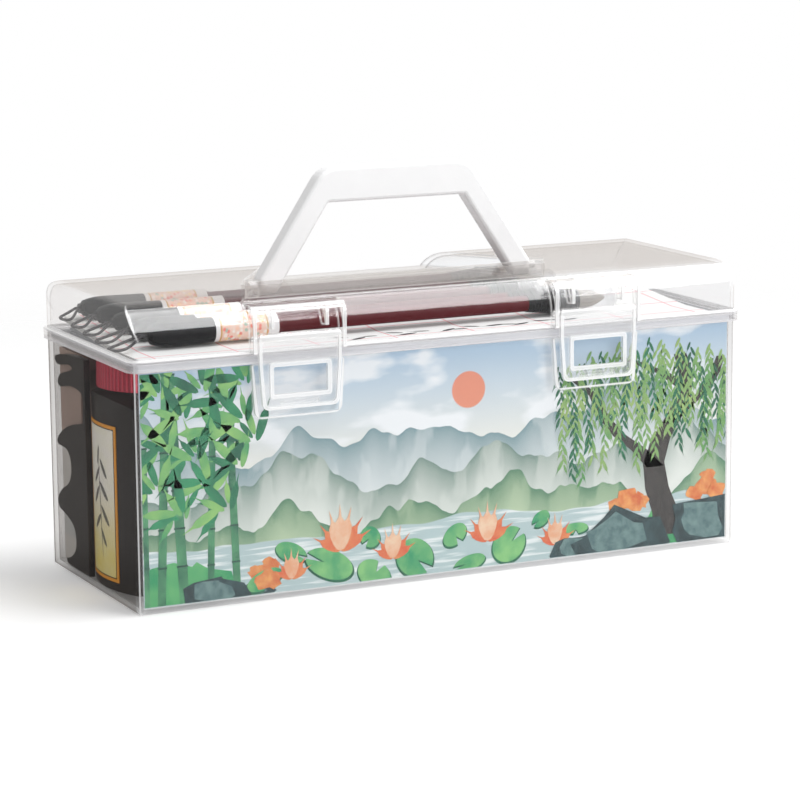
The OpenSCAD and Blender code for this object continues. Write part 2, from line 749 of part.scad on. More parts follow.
module lower_carton() {
    color([0.85, 0.85, 0.84]) translate([carton_x, carton_y, floor_t + seat_gap])
        cube([carton_l, carton_d, pale_carton_h]);
}

module upper_carton() {
    low = floor_t + seat_gap + pale_carton_h + cut;
    color([0.5, 0.43, 0.38]) translate([carton_x, carton_y, low])
        cube([carton_l, carton_d, ledge_z - carton_head_gap - low]);
}

module at_brush(i) {
    translate([brush_end(i), brush_ys[i], brush_z(i)]) children();
}

module brush_knob(i) {
    k = thick(i);
    r = knob_r * k;
    color([0.04, 0.04, 0.05]) at_brush(i) turned([[0, 0], [0, r * 0.45], [knob_l * 0.04, r * 0.47],
        [knob_l * 0.065, r * 0.7], [knob_l * 0.15, r * 0.86], [knob_l * 0.27, r * 0.98], [knob_l * 0.38, r],
        [knob_l * 0.6, r * 0.98], [knob_l, r * 0.93], [knob_l, 0]]);
}

module brush_sleeve(i) {
    core = knob_r * thick(i) * 0.86;
    color([0.93, 0.7, 0.62]) at_brush(i) turned([[knob_l, core + cut], [knob_l, core + 0.4],
        [knob_l + sleeve_l, core + 0.4], [knob_l + sleeve_l, core + cut]]);
}

// The shaft has a thick end under the sleeve and a tenon in the ferrule
module brush_shaft(i) {
    k = thick(i);
    r = shaft_r * k;
    core = knob_r * k * 0.86;
    x1 = knob_l + sleeve_l;
    x2 = x1 + shaft_l;
    color([0.4, 0.06, 0.08]) at_brush(i) turned([[knob_l + cut, 0], [knob_l + cut, core], [x1, core],
        [x1 + core / 2, r], [x2, r], [x2, r * tenon_share], [x2 + tenon_l, r * tenon_share],
        [x2 + tenon_l, 0]]);
}

function ferrule_x() = knob_l + sleeve_l + shaft_l;

module brush_ferrule(i) {
    k = thick(i);
    r = ferrule_r * k;
    seat_r = (ferrule_r - ferrule_lip) * k;
    tenon_r = shaft_r * k * tenon_share + cut;
    x0 = ferrule_x() + cut;
    x1 = ferrule_x() + ferrule_l;
    tenon_x = x0 + tenon_l + cut;
    color([0.06, 0.06, 0.07]) at_brush(i) turned([[x0, tenon_r], [x0, shaft_r * k * 1.1],
        [x0 + ferrule_taper, r], [x1, r], [x1, seat_r], [x1 - bristle_seat, seat_r], [x1 - bristle_seat, 0],
        [tenon_x, 0], [tenon_x, tenon_r]]);
}

module brush_bristles(i) {
    k = thick(i);
    r = (ferrule_r - ferrule_lip) * k - cut;
    x1 = ferrule_x() + ferrule_l;
    x0 = x1 - bristle_seat + cut;
    color([0.8, 0.76, 0.7]) at_brush(i) turned([[x0, 0], [x0, r], [x1, r], [x1 + bristle_l * 0.28, r * 0.96],
        [x1 + bristle_l * 0.56, r * 0.78], [x1 + bristle_l * 0.78, r * 0.46], [x1 + bristle_l, 0]]);
}

module brush_cap(i) {
    k = thick(i);
    inner = ferrule_r * k + bore_clear;
    outer = inner + brush_cap_wall;
    x0 = ferrule_x() + brush_cap_seat;
    x1 = x0 + brush_cap_l;
    color([0.8, 0.81, 0.83, 0.4]) at_brush(i) turned([[x0, inner], [x0, outer], [x1 - 1.5, outer - 0.3],
        [x1, outer - 1.6], [x1, 0], [x1 - 1, 0], [x1 - 1, inner - 0.8], [x1 - 2, inner - 0.4],
        [x1 - brush_cap_l / 3, inner]]);
}

// A tube of 8 sides swept along a route that never runs upright
module cord(route, d) {
    sides = 8;
    m = len(route);
    rings = [for (i = [0:m - 1])
        let (
            t = unit(route[min(i + 1, m - 1)] - route[max(i - 1, 0)]),
            across = unit(cross(t, [0, 0, 1])),
            up = cross(across, t)
        )
        for (j = [0:sides - 1])
            route[i] + d / 2 * (cos(360 * j / sides) * across + sin(360 * j / sides) * up)];
    walls = [for (i = [0:m - 2], j = [0:sides - 1])
        let (a = i * sides + j, b = i * sides + (j + 1) % sides)
        [a, b, b + sides, a + sides]];
    ends = [[for (j = [sides - 1:-1:0]) j], [for (j = [0:sides - 1]) (m - 1) * sides + j]];
    polyhedron(rings, concat(walls, ends), convexity = 6);
}

module brush_loop(i) {
    reach = brush_end(i) + lid_l / 2 - lid_wall - loop_d;
    droop = lie_r(i) - loop_d / 2 - bed_slope * loop_half;
    route = [for (p = LOOP_ROUTE) [-p[0] * reach, p[1], -p[2] * droop]];
    last = len(route) - 1;
    // The ends stay straight, so that they meet the knob squarely
    bend = spline([for (j = [1:last - 1]) route[j]], loop_steps);
    color([0.22, 0.2, 0.21]) at_brush(i) cord(concat([route[0]], bend, [route[last]]), loop_d);
}

module brush_part(i, part) {
    if (part == "knob") brush_knob(i);
    if (part == "shaft") brush_shaft(i);
    if (part == "sleeve") brush_sleeve(i);
    if (part == "ferrule") brush_ferrule(i);
    if (part == "bristles") brush_bristles(i);
    if (part == "cap") brush_cap(i);
    if (part == "loop") brush_loop(i);
}

tub();
lid();
carry_handle();
latch(-1);  // latch_left
latch(1);  // latch_right
hinge_pin(-1);  // hinge_pin_left
hinge_pin(1);  // hinge_pin_right
tray();
felt_mat();
practice_paper();
printed_card();
ink_bottle();
ink();
ink_cap();
bottle_label();
brush_rest();
upper_carton();
lower_carton();
for (i = [0:brush_n - 1], part = BRUSH_PARTS) {
    brush_part(i, part);
}
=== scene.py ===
"""Looks of a clear calligraphy case: moulded walls, a printed card, brushes on their paper, ink, cartons."""

import math

import bpy
from bpy.props import FloatProperty, FloatVectorProperty, PointerProperty
from mathutils import Matrix, Vector

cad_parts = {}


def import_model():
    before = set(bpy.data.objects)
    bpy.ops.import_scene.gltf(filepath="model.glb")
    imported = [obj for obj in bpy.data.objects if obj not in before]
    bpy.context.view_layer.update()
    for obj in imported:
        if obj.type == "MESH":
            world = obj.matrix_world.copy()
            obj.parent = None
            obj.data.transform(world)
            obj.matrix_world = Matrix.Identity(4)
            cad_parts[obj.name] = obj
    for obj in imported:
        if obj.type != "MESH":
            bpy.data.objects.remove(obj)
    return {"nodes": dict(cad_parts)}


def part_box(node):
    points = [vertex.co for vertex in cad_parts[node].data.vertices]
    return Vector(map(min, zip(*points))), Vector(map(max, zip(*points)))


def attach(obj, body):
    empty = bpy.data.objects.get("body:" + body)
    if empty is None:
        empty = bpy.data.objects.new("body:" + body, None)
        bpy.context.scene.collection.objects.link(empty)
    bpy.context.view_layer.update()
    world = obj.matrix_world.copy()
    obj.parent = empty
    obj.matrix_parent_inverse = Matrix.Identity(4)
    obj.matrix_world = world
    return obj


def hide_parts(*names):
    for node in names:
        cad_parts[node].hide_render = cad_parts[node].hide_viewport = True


bl_info = {
    "name": "Calligraphy case",
    "version": (1, 0, 0),
    "blender": (4, 5, 0),
    "location": "View3D > Sidebar > Case",
    "description": "Dresses a clear calligraphy case and everything packed in it",
    "category": "Object",
}

MM = 0.001
QUARTER = math.radians(90)
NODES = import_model()["nodes"]
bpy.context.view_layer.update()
BRUSHES = range(1, 1 + sum(name.endswith("_knob") for name in NODES))
LATCHES = ("latch_left", "latch_right")
LEFT_END = ("ink_bottle", "bottle_label", "ink_cap", "brush_rest", "upper_carton", "lower_carton")
# Planes of the raised rims of a flap, of the latch housings, of the lid's front and of the tub's front
RIM_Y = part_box("latch_left")[0].y + 0.5 * MM
HOUSING_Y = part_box("lid")[0].y + 0.6 * MM
LID_Y = -61.2 * MM
TUB_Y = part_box("printed_card")[0].y - 2.6 * MM
# Heights of the housings' hood and of the skirt's edges
HOUSING_TOP = 142.6 * MM
SKIRT_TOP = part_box("tub")[1].z + 1.7 * MM
LID_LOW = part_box("lid")[0].z
# Strike plates: middle, lower and upper edge, half width at either
PLATE_X = (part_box("latch_right")[0].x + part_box("latch_right")[1].x) / 2
PLATE_LOW, PLATE_TOP, PLATE_TIP, PLATE_HALF = 89.2 * MM, 115.4 * MM, 21.4 * MM, 24.0 * MM

# Clear plastic: its own colour, the painted shade over what is seen through it at a slant, deep and faint, and the
# painted grey shade where it is seen quite on edge
PANE = (0.985, 0.987, 0.99)
DEEP_SLANT_SHADE, FAINT_SLANT_SHADE = (0.22, 0.19, 0.16), (0.82, 0.78, 0.75)
OUTLINE = (0.45, 0.42, 0.38)
# Its painted edge highlights, by how far the rounded normal turns away from the face
STILL_FLAT, ON_THE_EDGE = 0.985, 0.86
EDGE_HIGHLIGHT_WHITE = (0.98, 0.98, 0.98)
# Its grey skirt, and the gloss of its long curves
SKIRT_GREY, SKIRT_VEIL, CURVE_GLOSS = (0.62, 0.6, 0.64), 0.22, 0.022
# Scale that keeps a print the same through the card's thickness
FLAT = (1, 0, 1)

SHEAF_T = 2.4 * MM
# How far each sheet of the sheaf lies aside and back, in millimetres
SLIDES = ((-0.6, 0.3), (0.4, 0.0), (-0.2, 0.5), (0.7, 0.1), (0.0, 0.0))
FOLDS = 4
GROOVES = 16
LOOP_D = 1.4 * MM
# Route of a loop from its brush's end: share of its reach, millimetres across, share of its droop
LOOP_ROUTE = (
    (0.00, 1.6, 0.0), (0.12, 1.6, 0.0), (0.38, 4.0, 0.45), (0.66, 6.2, 0.85), (0.90, 4.6, 1.0), (1.00, 0.0, 1.0),
    (0.90, -4.6, 1.0), (0.66, -6.2, 0.85), (0.38, -4.0, 0.45), (0.12, -1.6, 0.0), (0.00, -1.6, 0.0),
)
# Rings of a brush head: share of its length, share of its radius
TUFT = (
    (0.02, 1.0), (0.18, 1.0), (0.30, 1.0), (0.42, 0.96), (0.54, 0.88), (0.65, 0.76), (0.75, 0.62), (0.84, 0.46),
    (0.92, 0.28), (0.97, 0.15), (1.00, 0.03),
)
# Ink strokes on the paper, in millimetres and degrees: x, y, angle, size
STROKES = (
    (-42, -36, 62, 0.9), (-34, -38, 118, 1.1), (-27, -37, 84, 0.8), (-12, -35, 66, 1.0), (-6, -38, 104, 1.2),
    (2, -36, 75, 0.9), (16, -35, 121, 1.1), (22, -38, 88, 0.9), (30, -36, 58, 1.0), (44, -35, 98, 1.2),
    (50, -38, 70, 0.9), (57, -36, 112, 1.1), (70, -35, 80, 1.0), (77, -38, 60, 0.9), (85, -36, 105, 1.1),
)
# Sprig on the bottle's label: leaves and stem as across, up, angle, half length, half width in millimetres
SPRIG = (
    (0, -4, 4, 26, 0.5), (-4, 16, 40, 6, 1.4), (4, 12, -42, 6, 1.3), (-4, 5, 48, 6.5, 1.5), (5, 2, -38, 6, 1.4),
    (-5, -7, 44, 6.5, 1.5), (4, -11, -46, 6, 1.4), (-3, -18, 36, 5.5, 1.3), (2, 22, -10, 5, 1.2),
)
# Colours of the sleeves' blossoms, from these shares of the specks on
BLOSSOMS = (
    (0.0, (0.85, 0.2, 0.16)), (0.22, (0.88, 0.55, 0.4)), (0.4, (0.9, 0.82, 0.76)), (0.62, (0.35, 0.5, 0.42)),
    (0.76, (0.92, 0.66, 0.3)),
)
# The card's picture, in millimetres. Hills: height, swing, pace, shift, crest, foot, depth of the mist
HILLS = (
    (76, 34, 15, 0.0, (0.16, 0.28, 0.31), (0.73, 0.77, 0.77), 36),
    (57, 30, 19, 3.1, (0.13, 0.23, 0.19), (0.75, 0.78, 0.73), 30),
    (38, 24, 24, 7.7, (0.05, 0.19, 0.1), (0.48, 0.6, 0.4), 24),
)
# Rocks and grassy banks: x, z, size, stretch. Shrubs: x, z, size
ROCKS = (
    (-146, 8, 1.3, 1.4), (-124, 5, 0.9, 1.7), (-103, 4, 0.6, 1.6), (96, 8, 1.5, 1.7), (121, 13, 1.9, 1.3),
    (146, 10, 1.6, 1.4), (74, 5, 0.9, 1.7),
)
BANKS = ((-148, -4, 2.6, 1.6), (-112, -8, 2.0, 1.6), (136, -3, 2.7, 1.5), (98, -9, 2.0, 1.5), (158, 4, 1.8, 1.0))
SHRUBS = (
    (-96, 10, 0.5), (-91, 13, 0.42), (-101, 14, 0.4), (-95, 17, 0.36), (102, 29, 0.5), (96, 26, 0.42),
    (108, 27, 0.45), (148, 31, 0.5), (154, 28, 0.42), (142, 28, 0.4), (149, 36, 0.34),
)
# Boughs: line as (x, z), width, taper for each step
BOUGHS = (
    (((126, 8), (124, 20), (119, 33), (117, 46), (121, 58), (128, 68), (134, 78), (136, 90), (132, 101)), 17, 0.9),
    (((118, 44), (108, 54), (97, 62), (88, 72), (82, 84), (72, 92)), 10, 0.85),
    (((126, 66), (136, 74), (146, 80), (153, 90), (156, 98)), 9, 0.86),
    (((134, 84), (122, 92), (108, 98), (96, 102)), 8, 0.84),
)
# Willow strands: x, z, drop
STRANDS = tuple(
    (62 + n * 2.5 + (n * 7 % 5) * 0.5, 111 - (n * 11 % 7) * 1.7 - ((n - 20) / 9) ** 2 * 2.2, 30 + n * 17 % 29)
    for n in range(40)
)
STRAND_STEP = 2.6
# Bamboo canes: x, foot, top, lean, width
CANES = (
    (-151, 3.4, 114, 0.04, 4.2), (-139, 3.4, 114, -0.05, 5.0), (-126, 3.4, 108, 0.03, 3.4),
    (-112, 3.4, 92, -0.03, 3.8), (-158, 3.4, 80, 0.0, 2.6),
)
# Sprays of bamboo leaves: x, z
SPRAYS = (
    (-152, 102), (-140, 92), (-130, 104), (-118, 96), (-148, 78), (-134, 72), (-122, 82), (-109, 88), (-154, 58),
    (-128, 58), (-112, 66), (-104, 78), (-141, 44), (-118, 46), (-150, 110), (-108, 106),
)
# Lotus pads: x, z, size, turn. Flowers: x, z, size
PADS = (
    (-84, 22, 0.9, 20), (-42, 25, 0.7, 130), (4, 21, 0.8, 60), (52, 24, 0.6, 150), (-64, 14, 1.4, 200),
    (-18, 12, 1.3, 40), (34, 13, 1.2, 320), (72, 17, 0.7, 90), (-98, 10, 1.0, 75), (-40, 6, 1.1, 300),
    (12, 6, 0.9, 170),
)
FLOWERS = ((-58, 20, 1.7), (-30, 13, 1.3), (22, 16, 1.5), (60, 10, 1.2), (-84, 9, 1.1))


# Properties


def number(label, about, default, **options):
    return FloatProperty(name=label, description=about, default=default, min=0, **options)


def angle(label, about, degrees):
    return FloatProperty(name=label, description=about, default=math.radians(degrees), subtype="ANGLE")


def triple(label, about, default, **options):
    return FloatVectorProperty(name=label, description=about, default=default, **options)


class CaseStage(bpy.types.PropertyGroup):
    azimuth: angle("Azimuth", "How far the camera stands round to the left end", 25.68)
    elevation: angle("Elevation", "How far the camera looks down", 10.52)
    roll: angle("Roll", "Tilt of the camera", -0.52)
    distance: number("Distance", "From the camera to its target", 1.522, unit="LENGTH")
    target: triple("Target", "Point at the middle of the view", (0.0027, 0.0, 0.07905), unit="LENGTH")
    lens: number("Lens", "Focal length in millimetres", 135.42)
    daylight: number("Daylight", "Strength of the even light all round", 0.5)
    softbox_power: number("Softbox", "Power of the softbox above", 8.5)
    sheen_power: number("Sheen", "Power of the softbox's reflection", 55.0)
    fill_power: number("Fill", "Power of the lamp at the left end", 9.0)
    front_power: number("Front lamp", "Power of the lamp in front", 10.0)
    floor_radius: number("Floor", "Radius of the round floor", 1.0, unit="LENGTH")
    floor_glow: number("Floor glow", "Light that keeps the floor white", 0.22)


class CasePlastic(bpy.types.PropertyGroup):
    tint: triple("Tint", "Colour of the clear plastic's haze", (0.86, 0.86, 0.87), subtype="COLOR")
    tub_haze: number("Tub haze", "Share of light the tub's wall scatters", 0.003)
    lid_haze: number("Lid haze", "Share of light the lid's wall scatters", 0.006)
    latch_haze: number("Latch haze", "Share of light a latch scatters", 0.06)
    # The bright line along an edge is a painted highlight
    edge_width: number("Edge width", "Width of the bright line along an edge", 1.6 * MM, unit="LENGTH")
    handle_colour: triple("Handle", "Colour of the handle", (0.93, 0.93, 0.935), subtype="COLOR")


# Node helpers


class Look:
    """A material or a world with its nodes. What feeds a socket is a value or another socket."""

    def __init__(self, owner):
        self.owner = bpy.data.materials.new(owner) if isinstance(owner, str) else owner
        self.owner.use_nodes = True
        self.tree = self.owner.node_tree

    def feed(self, socket, value):
        if isinstance(value, bpy.types.NodeSocket):
            self.tree.links.new(value, socket)
        elif socket.type == "RGBA":
            socket.default_value = tuple(value) + (1.0,) * (4 - len(value))
        else:
            socket.default_value = value

    def add(self, kind, **inputs):
        """Adds a node. A key is a property, a socket's name, or i with a socket's number."""
        node = self.tree.nodes.new("ShaderNode" + kind)
        for key, value in inputs.items():
            if key in node.bl_rna.properties and key not in node.inputs:
                setattr(node, key, value)
            else:
                by_number = key[0] == "i" and key[1:].isdigit()
                self.feed(node.inputs[int(key[1:]) if by_number else key.replace("_", " ")], value)
        return node

    def math(self, operation, a, b=0.0):
        return self.add("Math", operation=operation, i0=a, i1=b).outputs[0]

    def times(self, a, b):
        return self.math("MULTIPLY", a, b)

    def less(self, a, b):
        return self.math("SUBTRACT", a, b)

    def most(self, a, b):
        return self.math("MAXIMUM", a, b)

    def abs(self, a):
        return self.math("ABSOLUTE", a)

    def reach(self, vector):
        return self.add("VectorMath", operation="LENGTH", i0=vector).outputs["Value"]

    def coords(self, kind="Object"):
        return self.add("TexCoord").outputs[kind]

    def part(self, vector, letter):
        return self.add("SeparateXYZ", Vector=vector).outputs[letter]

    def axis(self, letter):
        """One of the object coordinates, in metres."""
        return self.part(self.coords(), letter)

    def facing(self):
        return self.add("NewGeometry").outputs["Normal"]

    def place(self, scale=(1, 1, 1), offset=(0, 0, 0)):
        """Object coordinates, scaled and moved."""
        return self.add("Mapping", Vector=self.coords(), Scale=scale, Location=offset).outputs[0]

    def noise(self, scale, detail=2.0, rough=0.5, at=(1, 1, 1), offset=(0, 0, 0)):
        vector = self.place(at, offset)
        return self.add("TexNoise", Vector=vector, Scale=scale, Detail=detail, Roughness=rough).outputs["Fac"]

    def mix(self, factor, a, b):
        return self.add("Mix", data_type="RGBA", i0=factor, i6=a, i7=b).outputs[2]

    def ramp(self, value, low, high, to_low=0.0, to_high=1.0):
        return self.add("MapRange", i0=value, i1=low, i2=high, i3=to_low, i4=to_high).outputs[0]

    def band(self, value, middle, half, soft=0.1 * MM):
        """1 within half of the middle value, falling to 0 over the soft distance."""
        return self.ramp(self.abs(self.less(value, middle)), half, half + soft, 1.0, 0.0)

    def blend(self, factor, a, b):
        return self.add("MixShader", i0=factor, i1=a, i2=b).outputs[0]

    def coat(self, colour, roughness, height=None, strength=0.0, depth=0.0, **inputs):
        """Feeds the Principled node, with bumps where a height is given. Its material comes back."""
        if height is not None:
            inputs["Normal"] = self.add("Bump", Height=height, Strength=strength, Distance=depth).outputs[0]
        sockets = self.tree.nodes["Principled BSDF"].inputs
        for name, value in {"Base Color": colour, "Roughness": roughness, **inputs}.items():
            self.feed(sockets[name.replace("_", " ")], value)
        return self.owner

    def coated(self):
        return self.tree.nodes["Principled BSDF"].outputs[0]

    def end(self, surface):
        """Puts another surface than the Principled node's on the material, which comes back."""
        self.feed(self.tree.nodes["Material Output"].inputs["Surface"], surface)
        return self.owner


def darker(colour, share):
    return tuple(c * share for c in colour)


def dress(node, material):
    """Gives a CAD node or a piece its material in place of what it has."""
    piece = NODES[node] if isinstance(node, str) else node
    piece.data.materials.clear()
    piece.data.materials.append(material)


# Materials


def clear_plastic(name, haze, glow, base, mirror, slanted, width=1.0, ends_only=False, lines=None, smoke=None):
    """Clear moulded plastic: faint haze with flow streaks, painted edge highlights, a sharp gloss and a painted
    grey shade on edge.

    Its edges take a painted white highlight, over width times the usual breadth. Its gloss goes from base, seen
    straight on, to mirror at a slant. Walls at a slant take the slanted colour as a painted shade, or else only
    the end walls do, and sooner.
    """
    plastic = bpy.context.scene.case_plastic
    m = Look(name)
    veil = m.ramp(m.noise(1.0, 3.0, at=(14, 14, 90)), 0.3, 0.7, haze * 0.6, haze * 1.4)
    rounded = m.add("Bevel", samples=3, Radius=plastic.edge_width * width).outputs[0]
    turn = m.add("VectorMath", operation="DOT_PRODUCT", i0=rounded, i1=m.facing()).outputs["Value"]
    # Painted highlight: the edges turn white as far as the rounded normal turns away from the face
    edge = m.ramp(turn, STILL_FLAT, ON_THE_EDGE, 0.0, glow)
    # Each part's painted highlight lines join the edges' painted highlight
    if lines:
        edge = m.most(edge, lines(m))
    veil = m.most(veil, edge)
    colour = m.mix(edge, plastic.tint, EDGE_HIGHLIGHT_WHITE)
    slant = m.add("LayerWeight", Blend=0.5).outputs["Facing"]
    gloss = m.ramp(m.math("POWER", slant, 4.0), 0.0, 1.0, base, mirror)
    if smoke:
        grey = smoke(m)
        colour = m.mix(grey, colour, SKIRT_GREY)
        veil = m.most(veil, m.times(grey, SKIRT_VEIL))
        gloss = m.math("ADD", gloss, m.times(long_curve(m), CURVE_GLOSS))
    # Painted shade over what is seen through a wall at a slant: on the end walls only, or on every wall
    if ends_only:
        at_ends = m.ramp(m.abs(m.part(m.facing(), "X")), 0.3, 0.8)
        depth = m.times(m.math("POWER", slant, 2.0), at_ends)
    else:
        depth = m.math("POWER", slant, 3.0)
    # The pane takes the painted shade at a slant, and a painted grey shade where the wall is seen on edge
    pane = m.mix(m.math("POWER", slant, 14.0), m.mix(depth, PANE, slanted), OUTLINE)
    m.coat(colour, 0.3)
    body = m.blend(veil, m.add("BsdfTransparent", Color=pane).outputs[0], m.coated())
    return m.end(m.blend(gloss, body, m.add("BsdfGlossy", Color=(1, 1, 1), Roughness=0.05).outputs[0]))


def painted_latch_highlights(m):
    """Painted highlights where the raised rims and window frame of a flap catch the light."""
    return m.ramp(m.axis("Y"), RIM_Y + 0.15 * MM, RIM_Y, 0.0, 0.7)


def long_curve(m):
    """1 on the lid's long rounded edges, which are polished brighter than its flats."""
    normal = m.coords("Normal")
    forward = m.ramp(m.abs(m.part(normal, "Y")), 0.25, 0.45)
    return m.times(forward, m.ramp(m.part(normal, "Z"), 0.2, 0.4))


def painted_tub_highlights(m):
    """Painted highlights: bright lines down the middle of each rounded upright corner, and round the strike
    plates.
    """
    from_end = m.less(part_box("tub")[1].x, m.abs(m.axis("X")))
    from_side = m.less(-TUB_Y, m.abs(m.axis("Y")))
    apart = m.band(m.less(from_end, from_side), 0.0, 0.35 * MM, 0.5 * MM)
    # Painted glint down the middle of each rounded upright corner
    corner = m.times(apart, m.ramp(from_end, 1.6 * MM, 2.0 * MM, 0.7, 0.0))
    side = m.ramp(m.abs(m.part(m.facing(), "Y")), 0.4, 0.7, 0.8, 0.0)
    height = m.axis("Z")
    half = m.ramp(height, PLATE_LOW, PLATE_TOP, PLATE_TIP, PLATE_HALF)
    across = m.abs(m.less(m.abs(m.axis("X")), PLATE_X))
    inside = m.math("MINIMUM", m.less(half, across), m.less(height, PLATE_LOW))
    # Painted highlight round the rims of the strike plates
    rim = m.ramp(inside, 0.7 * MM, 1.1 * MM, 0.8, 0.0)
    proud = m.ramp(m.axis("Y"), TUB_Y - 0.1 * MM, TUB_Y - 0.3 * MM)
    return m.most(corner, m.times(m.most(side, rim), proud))


def painted_lid_highlights(m):
    """Painted highlights: bright lines along both edges of the skirt and round the latch housings."""
    height, front = m.axis("Z"), m.axis("Y")
    skirt = m.math("ADD", m.band(height, LID_LOW, 0.7 * MM), m.band(height, SKIRT_TOP, 0.5 * MM))
    cheeks = m.ramp(front, HOUSING_Y + 0.2 * MM, HOUSING_Y, 0.0, 0.6)
    hood = m.band(height, HOUSING_TOP, 0.7 * MM, 0.3 * MM)
    outside = m.ramp(front, LID_Y, LID_Y - 0.4 * MM, 0.0, 0.6)
    return m.most(m.times(skirt, 0.85), m.most(cheeks, m.times(hood, outside)))


def skirt_smoke(m):
    """The doubled wall of the skirt and the rim behind it look grey and streaky."""
    inside = m.band(m.axis("Z"), (LID_LOW + SKIRT_TOP) / 2, (SKIRT_TOP - LID_LOW) / 2 - 0.4 * MM)
    return m.times(inside, m.ramp(m.noise(1.0, 3.0, at=(9, 9, 900)), 0.35, 0.65, 0.35, 1.0))


def moulded(name, colour, roughness=0.35, grain=0.02):
    """Opaque moulded plastic with a fine grain."""
    m = Look(name)
    mottled = m.mix(m.noise(60.0, 3.0), darker(colour, 0.93), colour)
    return m.coat(mottled, roughness, m.noise(900.0), grain, 0.0004, Specular_IOR_Level=0.3)


def plain(name, colour, roughness, grain):
    """One finish with patches and a fine tooth."""
    m = Look(name)
    patchy = m.mix(m.noise(180.0, 4.0, 0.6), darker(colour, 0.7), colour)
    return m.coat(patchy, roughness, m.noise(1400.0), grain, 0.0002)


def painted(name, dark, light, scale):
    """Flat print that runs between two colours in washes, with a soft paper tooth."""
    m = Look(name)
    wash = m.ramp(m.noise(scale * 1.6, 3.0, 0.6, FLAT), 0.35, 0.65)
    tooth = m.ramp(m.noise(900.0, at=FLAT), 0.2, 0.8, 0.0, 0.05)
    return m.coat(m.mix(tooth, m.mix(wash, dark, light), (0.8, 0.8, 0.78)), 0.45)


def landscape():
    """The card's ground: sky with soft clouds, a sun, three ranges of hills and a pond."""
    m = Look("card picture")
    height = m.axis("Z")
    soft = m.noise(60.0, 4.0, 0.6, FLAT)
    colour = m.mix(m.ramp(height, 62 * MM, 112 * MM), (0.84, 0.83, 0.76), (0.42, 0.56, 0.7))
    puffs = m.noise(1.0, 4.0, 0.45, (17, 0, 42), (0.3, 0, 0.2))
    colour = m.mix(m.ramp(puffs, 0.5, 0.57, 0.0, 0.9), colour, (0.88, 0.9, 0.92))
    from_sun = m.reach(m.place(FLAT, (-0.012, 0, -0.093)))
    colour = m.mix(m.ramp(from_sun, 8.8 * MM, 9.4 * MM, 0.85, 0.0), colour, (0.8, 0.2, 0.07))
    for middle, swing, pace, shift, crest, foot, mist in HILLS:
        ridge = m.noise(1.0, 3.0, 0.45, (pace, 0, 0), (shift, 0, 0))
        crag = m.times(m.less(soft, 0.5), 4 * MM)
        top = m.math("ADD", m.ramp(ridge, 0.2, 0.8, (middle - swing) * MM, (middle + swing) * MM), crag)
        below = m.less(top, height)
        body = m.mix(m.math("POWER", m.ramp(below, 0.0, mist * MM), 0.7), crest, foot)
        folds = m.noise(1.0, 3.0, at=(60, 0, 22), offset=(shift, 0, 0))
        body = m.mix(m.ramp(folds, 0.5, 0.56, 0.0, 0.35), body, foot)
        colour = m.mix(m.ramp(below, 0.0, 0.35 * MM), colour, body)
    shore = m.ramp(m.noise(1.0, at=(16, 0, 0), offset=(1.3, 0, 0)), 0.3, 0.7, 25 * MM, 33 * MM)
    ripple = m.ramp(m.noise(1.0, at=(30, 0, 420)), 0.5, 0.62)
    water = m.mix(ripple, (0.44, 0.56, 0.57), (0.77, 0.82, 0.82))
    colour = m.mix(m.ramp(m.less(shore, height), 0.0, 0.5 * MM), colour, water)
    low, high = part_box("printed_card")
    back = [low.y + (high.y - low.y) * share for share in (0.4, 0.6)]
    colour = m.mix(m.ramp(m.axis("Y"), *back), colour, (0.74, 0.74, 0.72))
    tooth = m.noise(1600.0)
    colour = m.mix(m.ramp(tooth, 0.3, 0.7, 0.0, 0.08), colour, (0.9, 0.9, 0.88))
    return m.coat(colour, 0.42, tooth, 0.05, 0.0002)


def practice_sheet():
    """Thin practice paper: fibres, a faint cockle and pink guide lines."""
    m = Look("practice sheet")
    paper = m.mix(m.noise(1.0, 4.0, at=(900, 240, 300)), (0.8, 0.8, 0.78), (0.88, 0.88, 0.87))
    lines = []
    for letter, cell, shift in (("X", 42.0, 0.0), ("Y", 26.0, 3.0)):
        share = m.math("FRACT", m.math("DIVIDE", m.math("ADD", m.axis(letter), shift * MM), cell * MM))
        lines.append(m.band(share, 0.5, 0.35 / cell, 0.15 / cell))
    on_top = m.ramp(m.part(m.facing(), "Z"), 0.8, 0.9, 0.0, 0.75)
    ruled = m.mix(m.times(m.most(*lines), on_top), paper, (0.78, 0.2, 0.25))
    return m.coat(ruled, 0.9, m.noise(70.0, 3.0), 0.25, 0.0015)


def knob_lacquer():
    """Deep black lacquer with a faint orange peel."""
    m = Look("black lacquer")
    haze = m.ramp(m.noise(120.0, 3.0), 0.3, 0.7, 0.1, 0.22)
    return m.coat((0.004, 0.004, 0.005), haze, m.noise(300.0), 0.05, 0.0005, IOR=1.2)


def red_lacquer():
    """Dark red lacquer over wood, with the grain just showing."""
    m = Look("red lacquer")
    grain = m.noise(1.0, 3.0, 0.6, (12, 700, 700))
    return m.coat(m.mix(grain, (0.05, 0.002, 0.004), (0.13, 0.005, 0.01)), 0.3, grain, 0.06, 0.0003, IOR=1.15)


def ferrule_lacquer():
    """Black horn with turned grooves."""
    m = Look("turned ferrule")
    cut = m.ramp(m.add("TexWave", Vector=m.place(), Scale=95.0).outputs["Fac"], 0.0, 0.12)
    dull = m.ramp(cut, 0.0, 1.0, 0.5, 0.16)
    return m.coat((0.006, 0.006, 0.007), dull, cut, 0.5, 0.0003, Specular_IOR_Level=0.25)


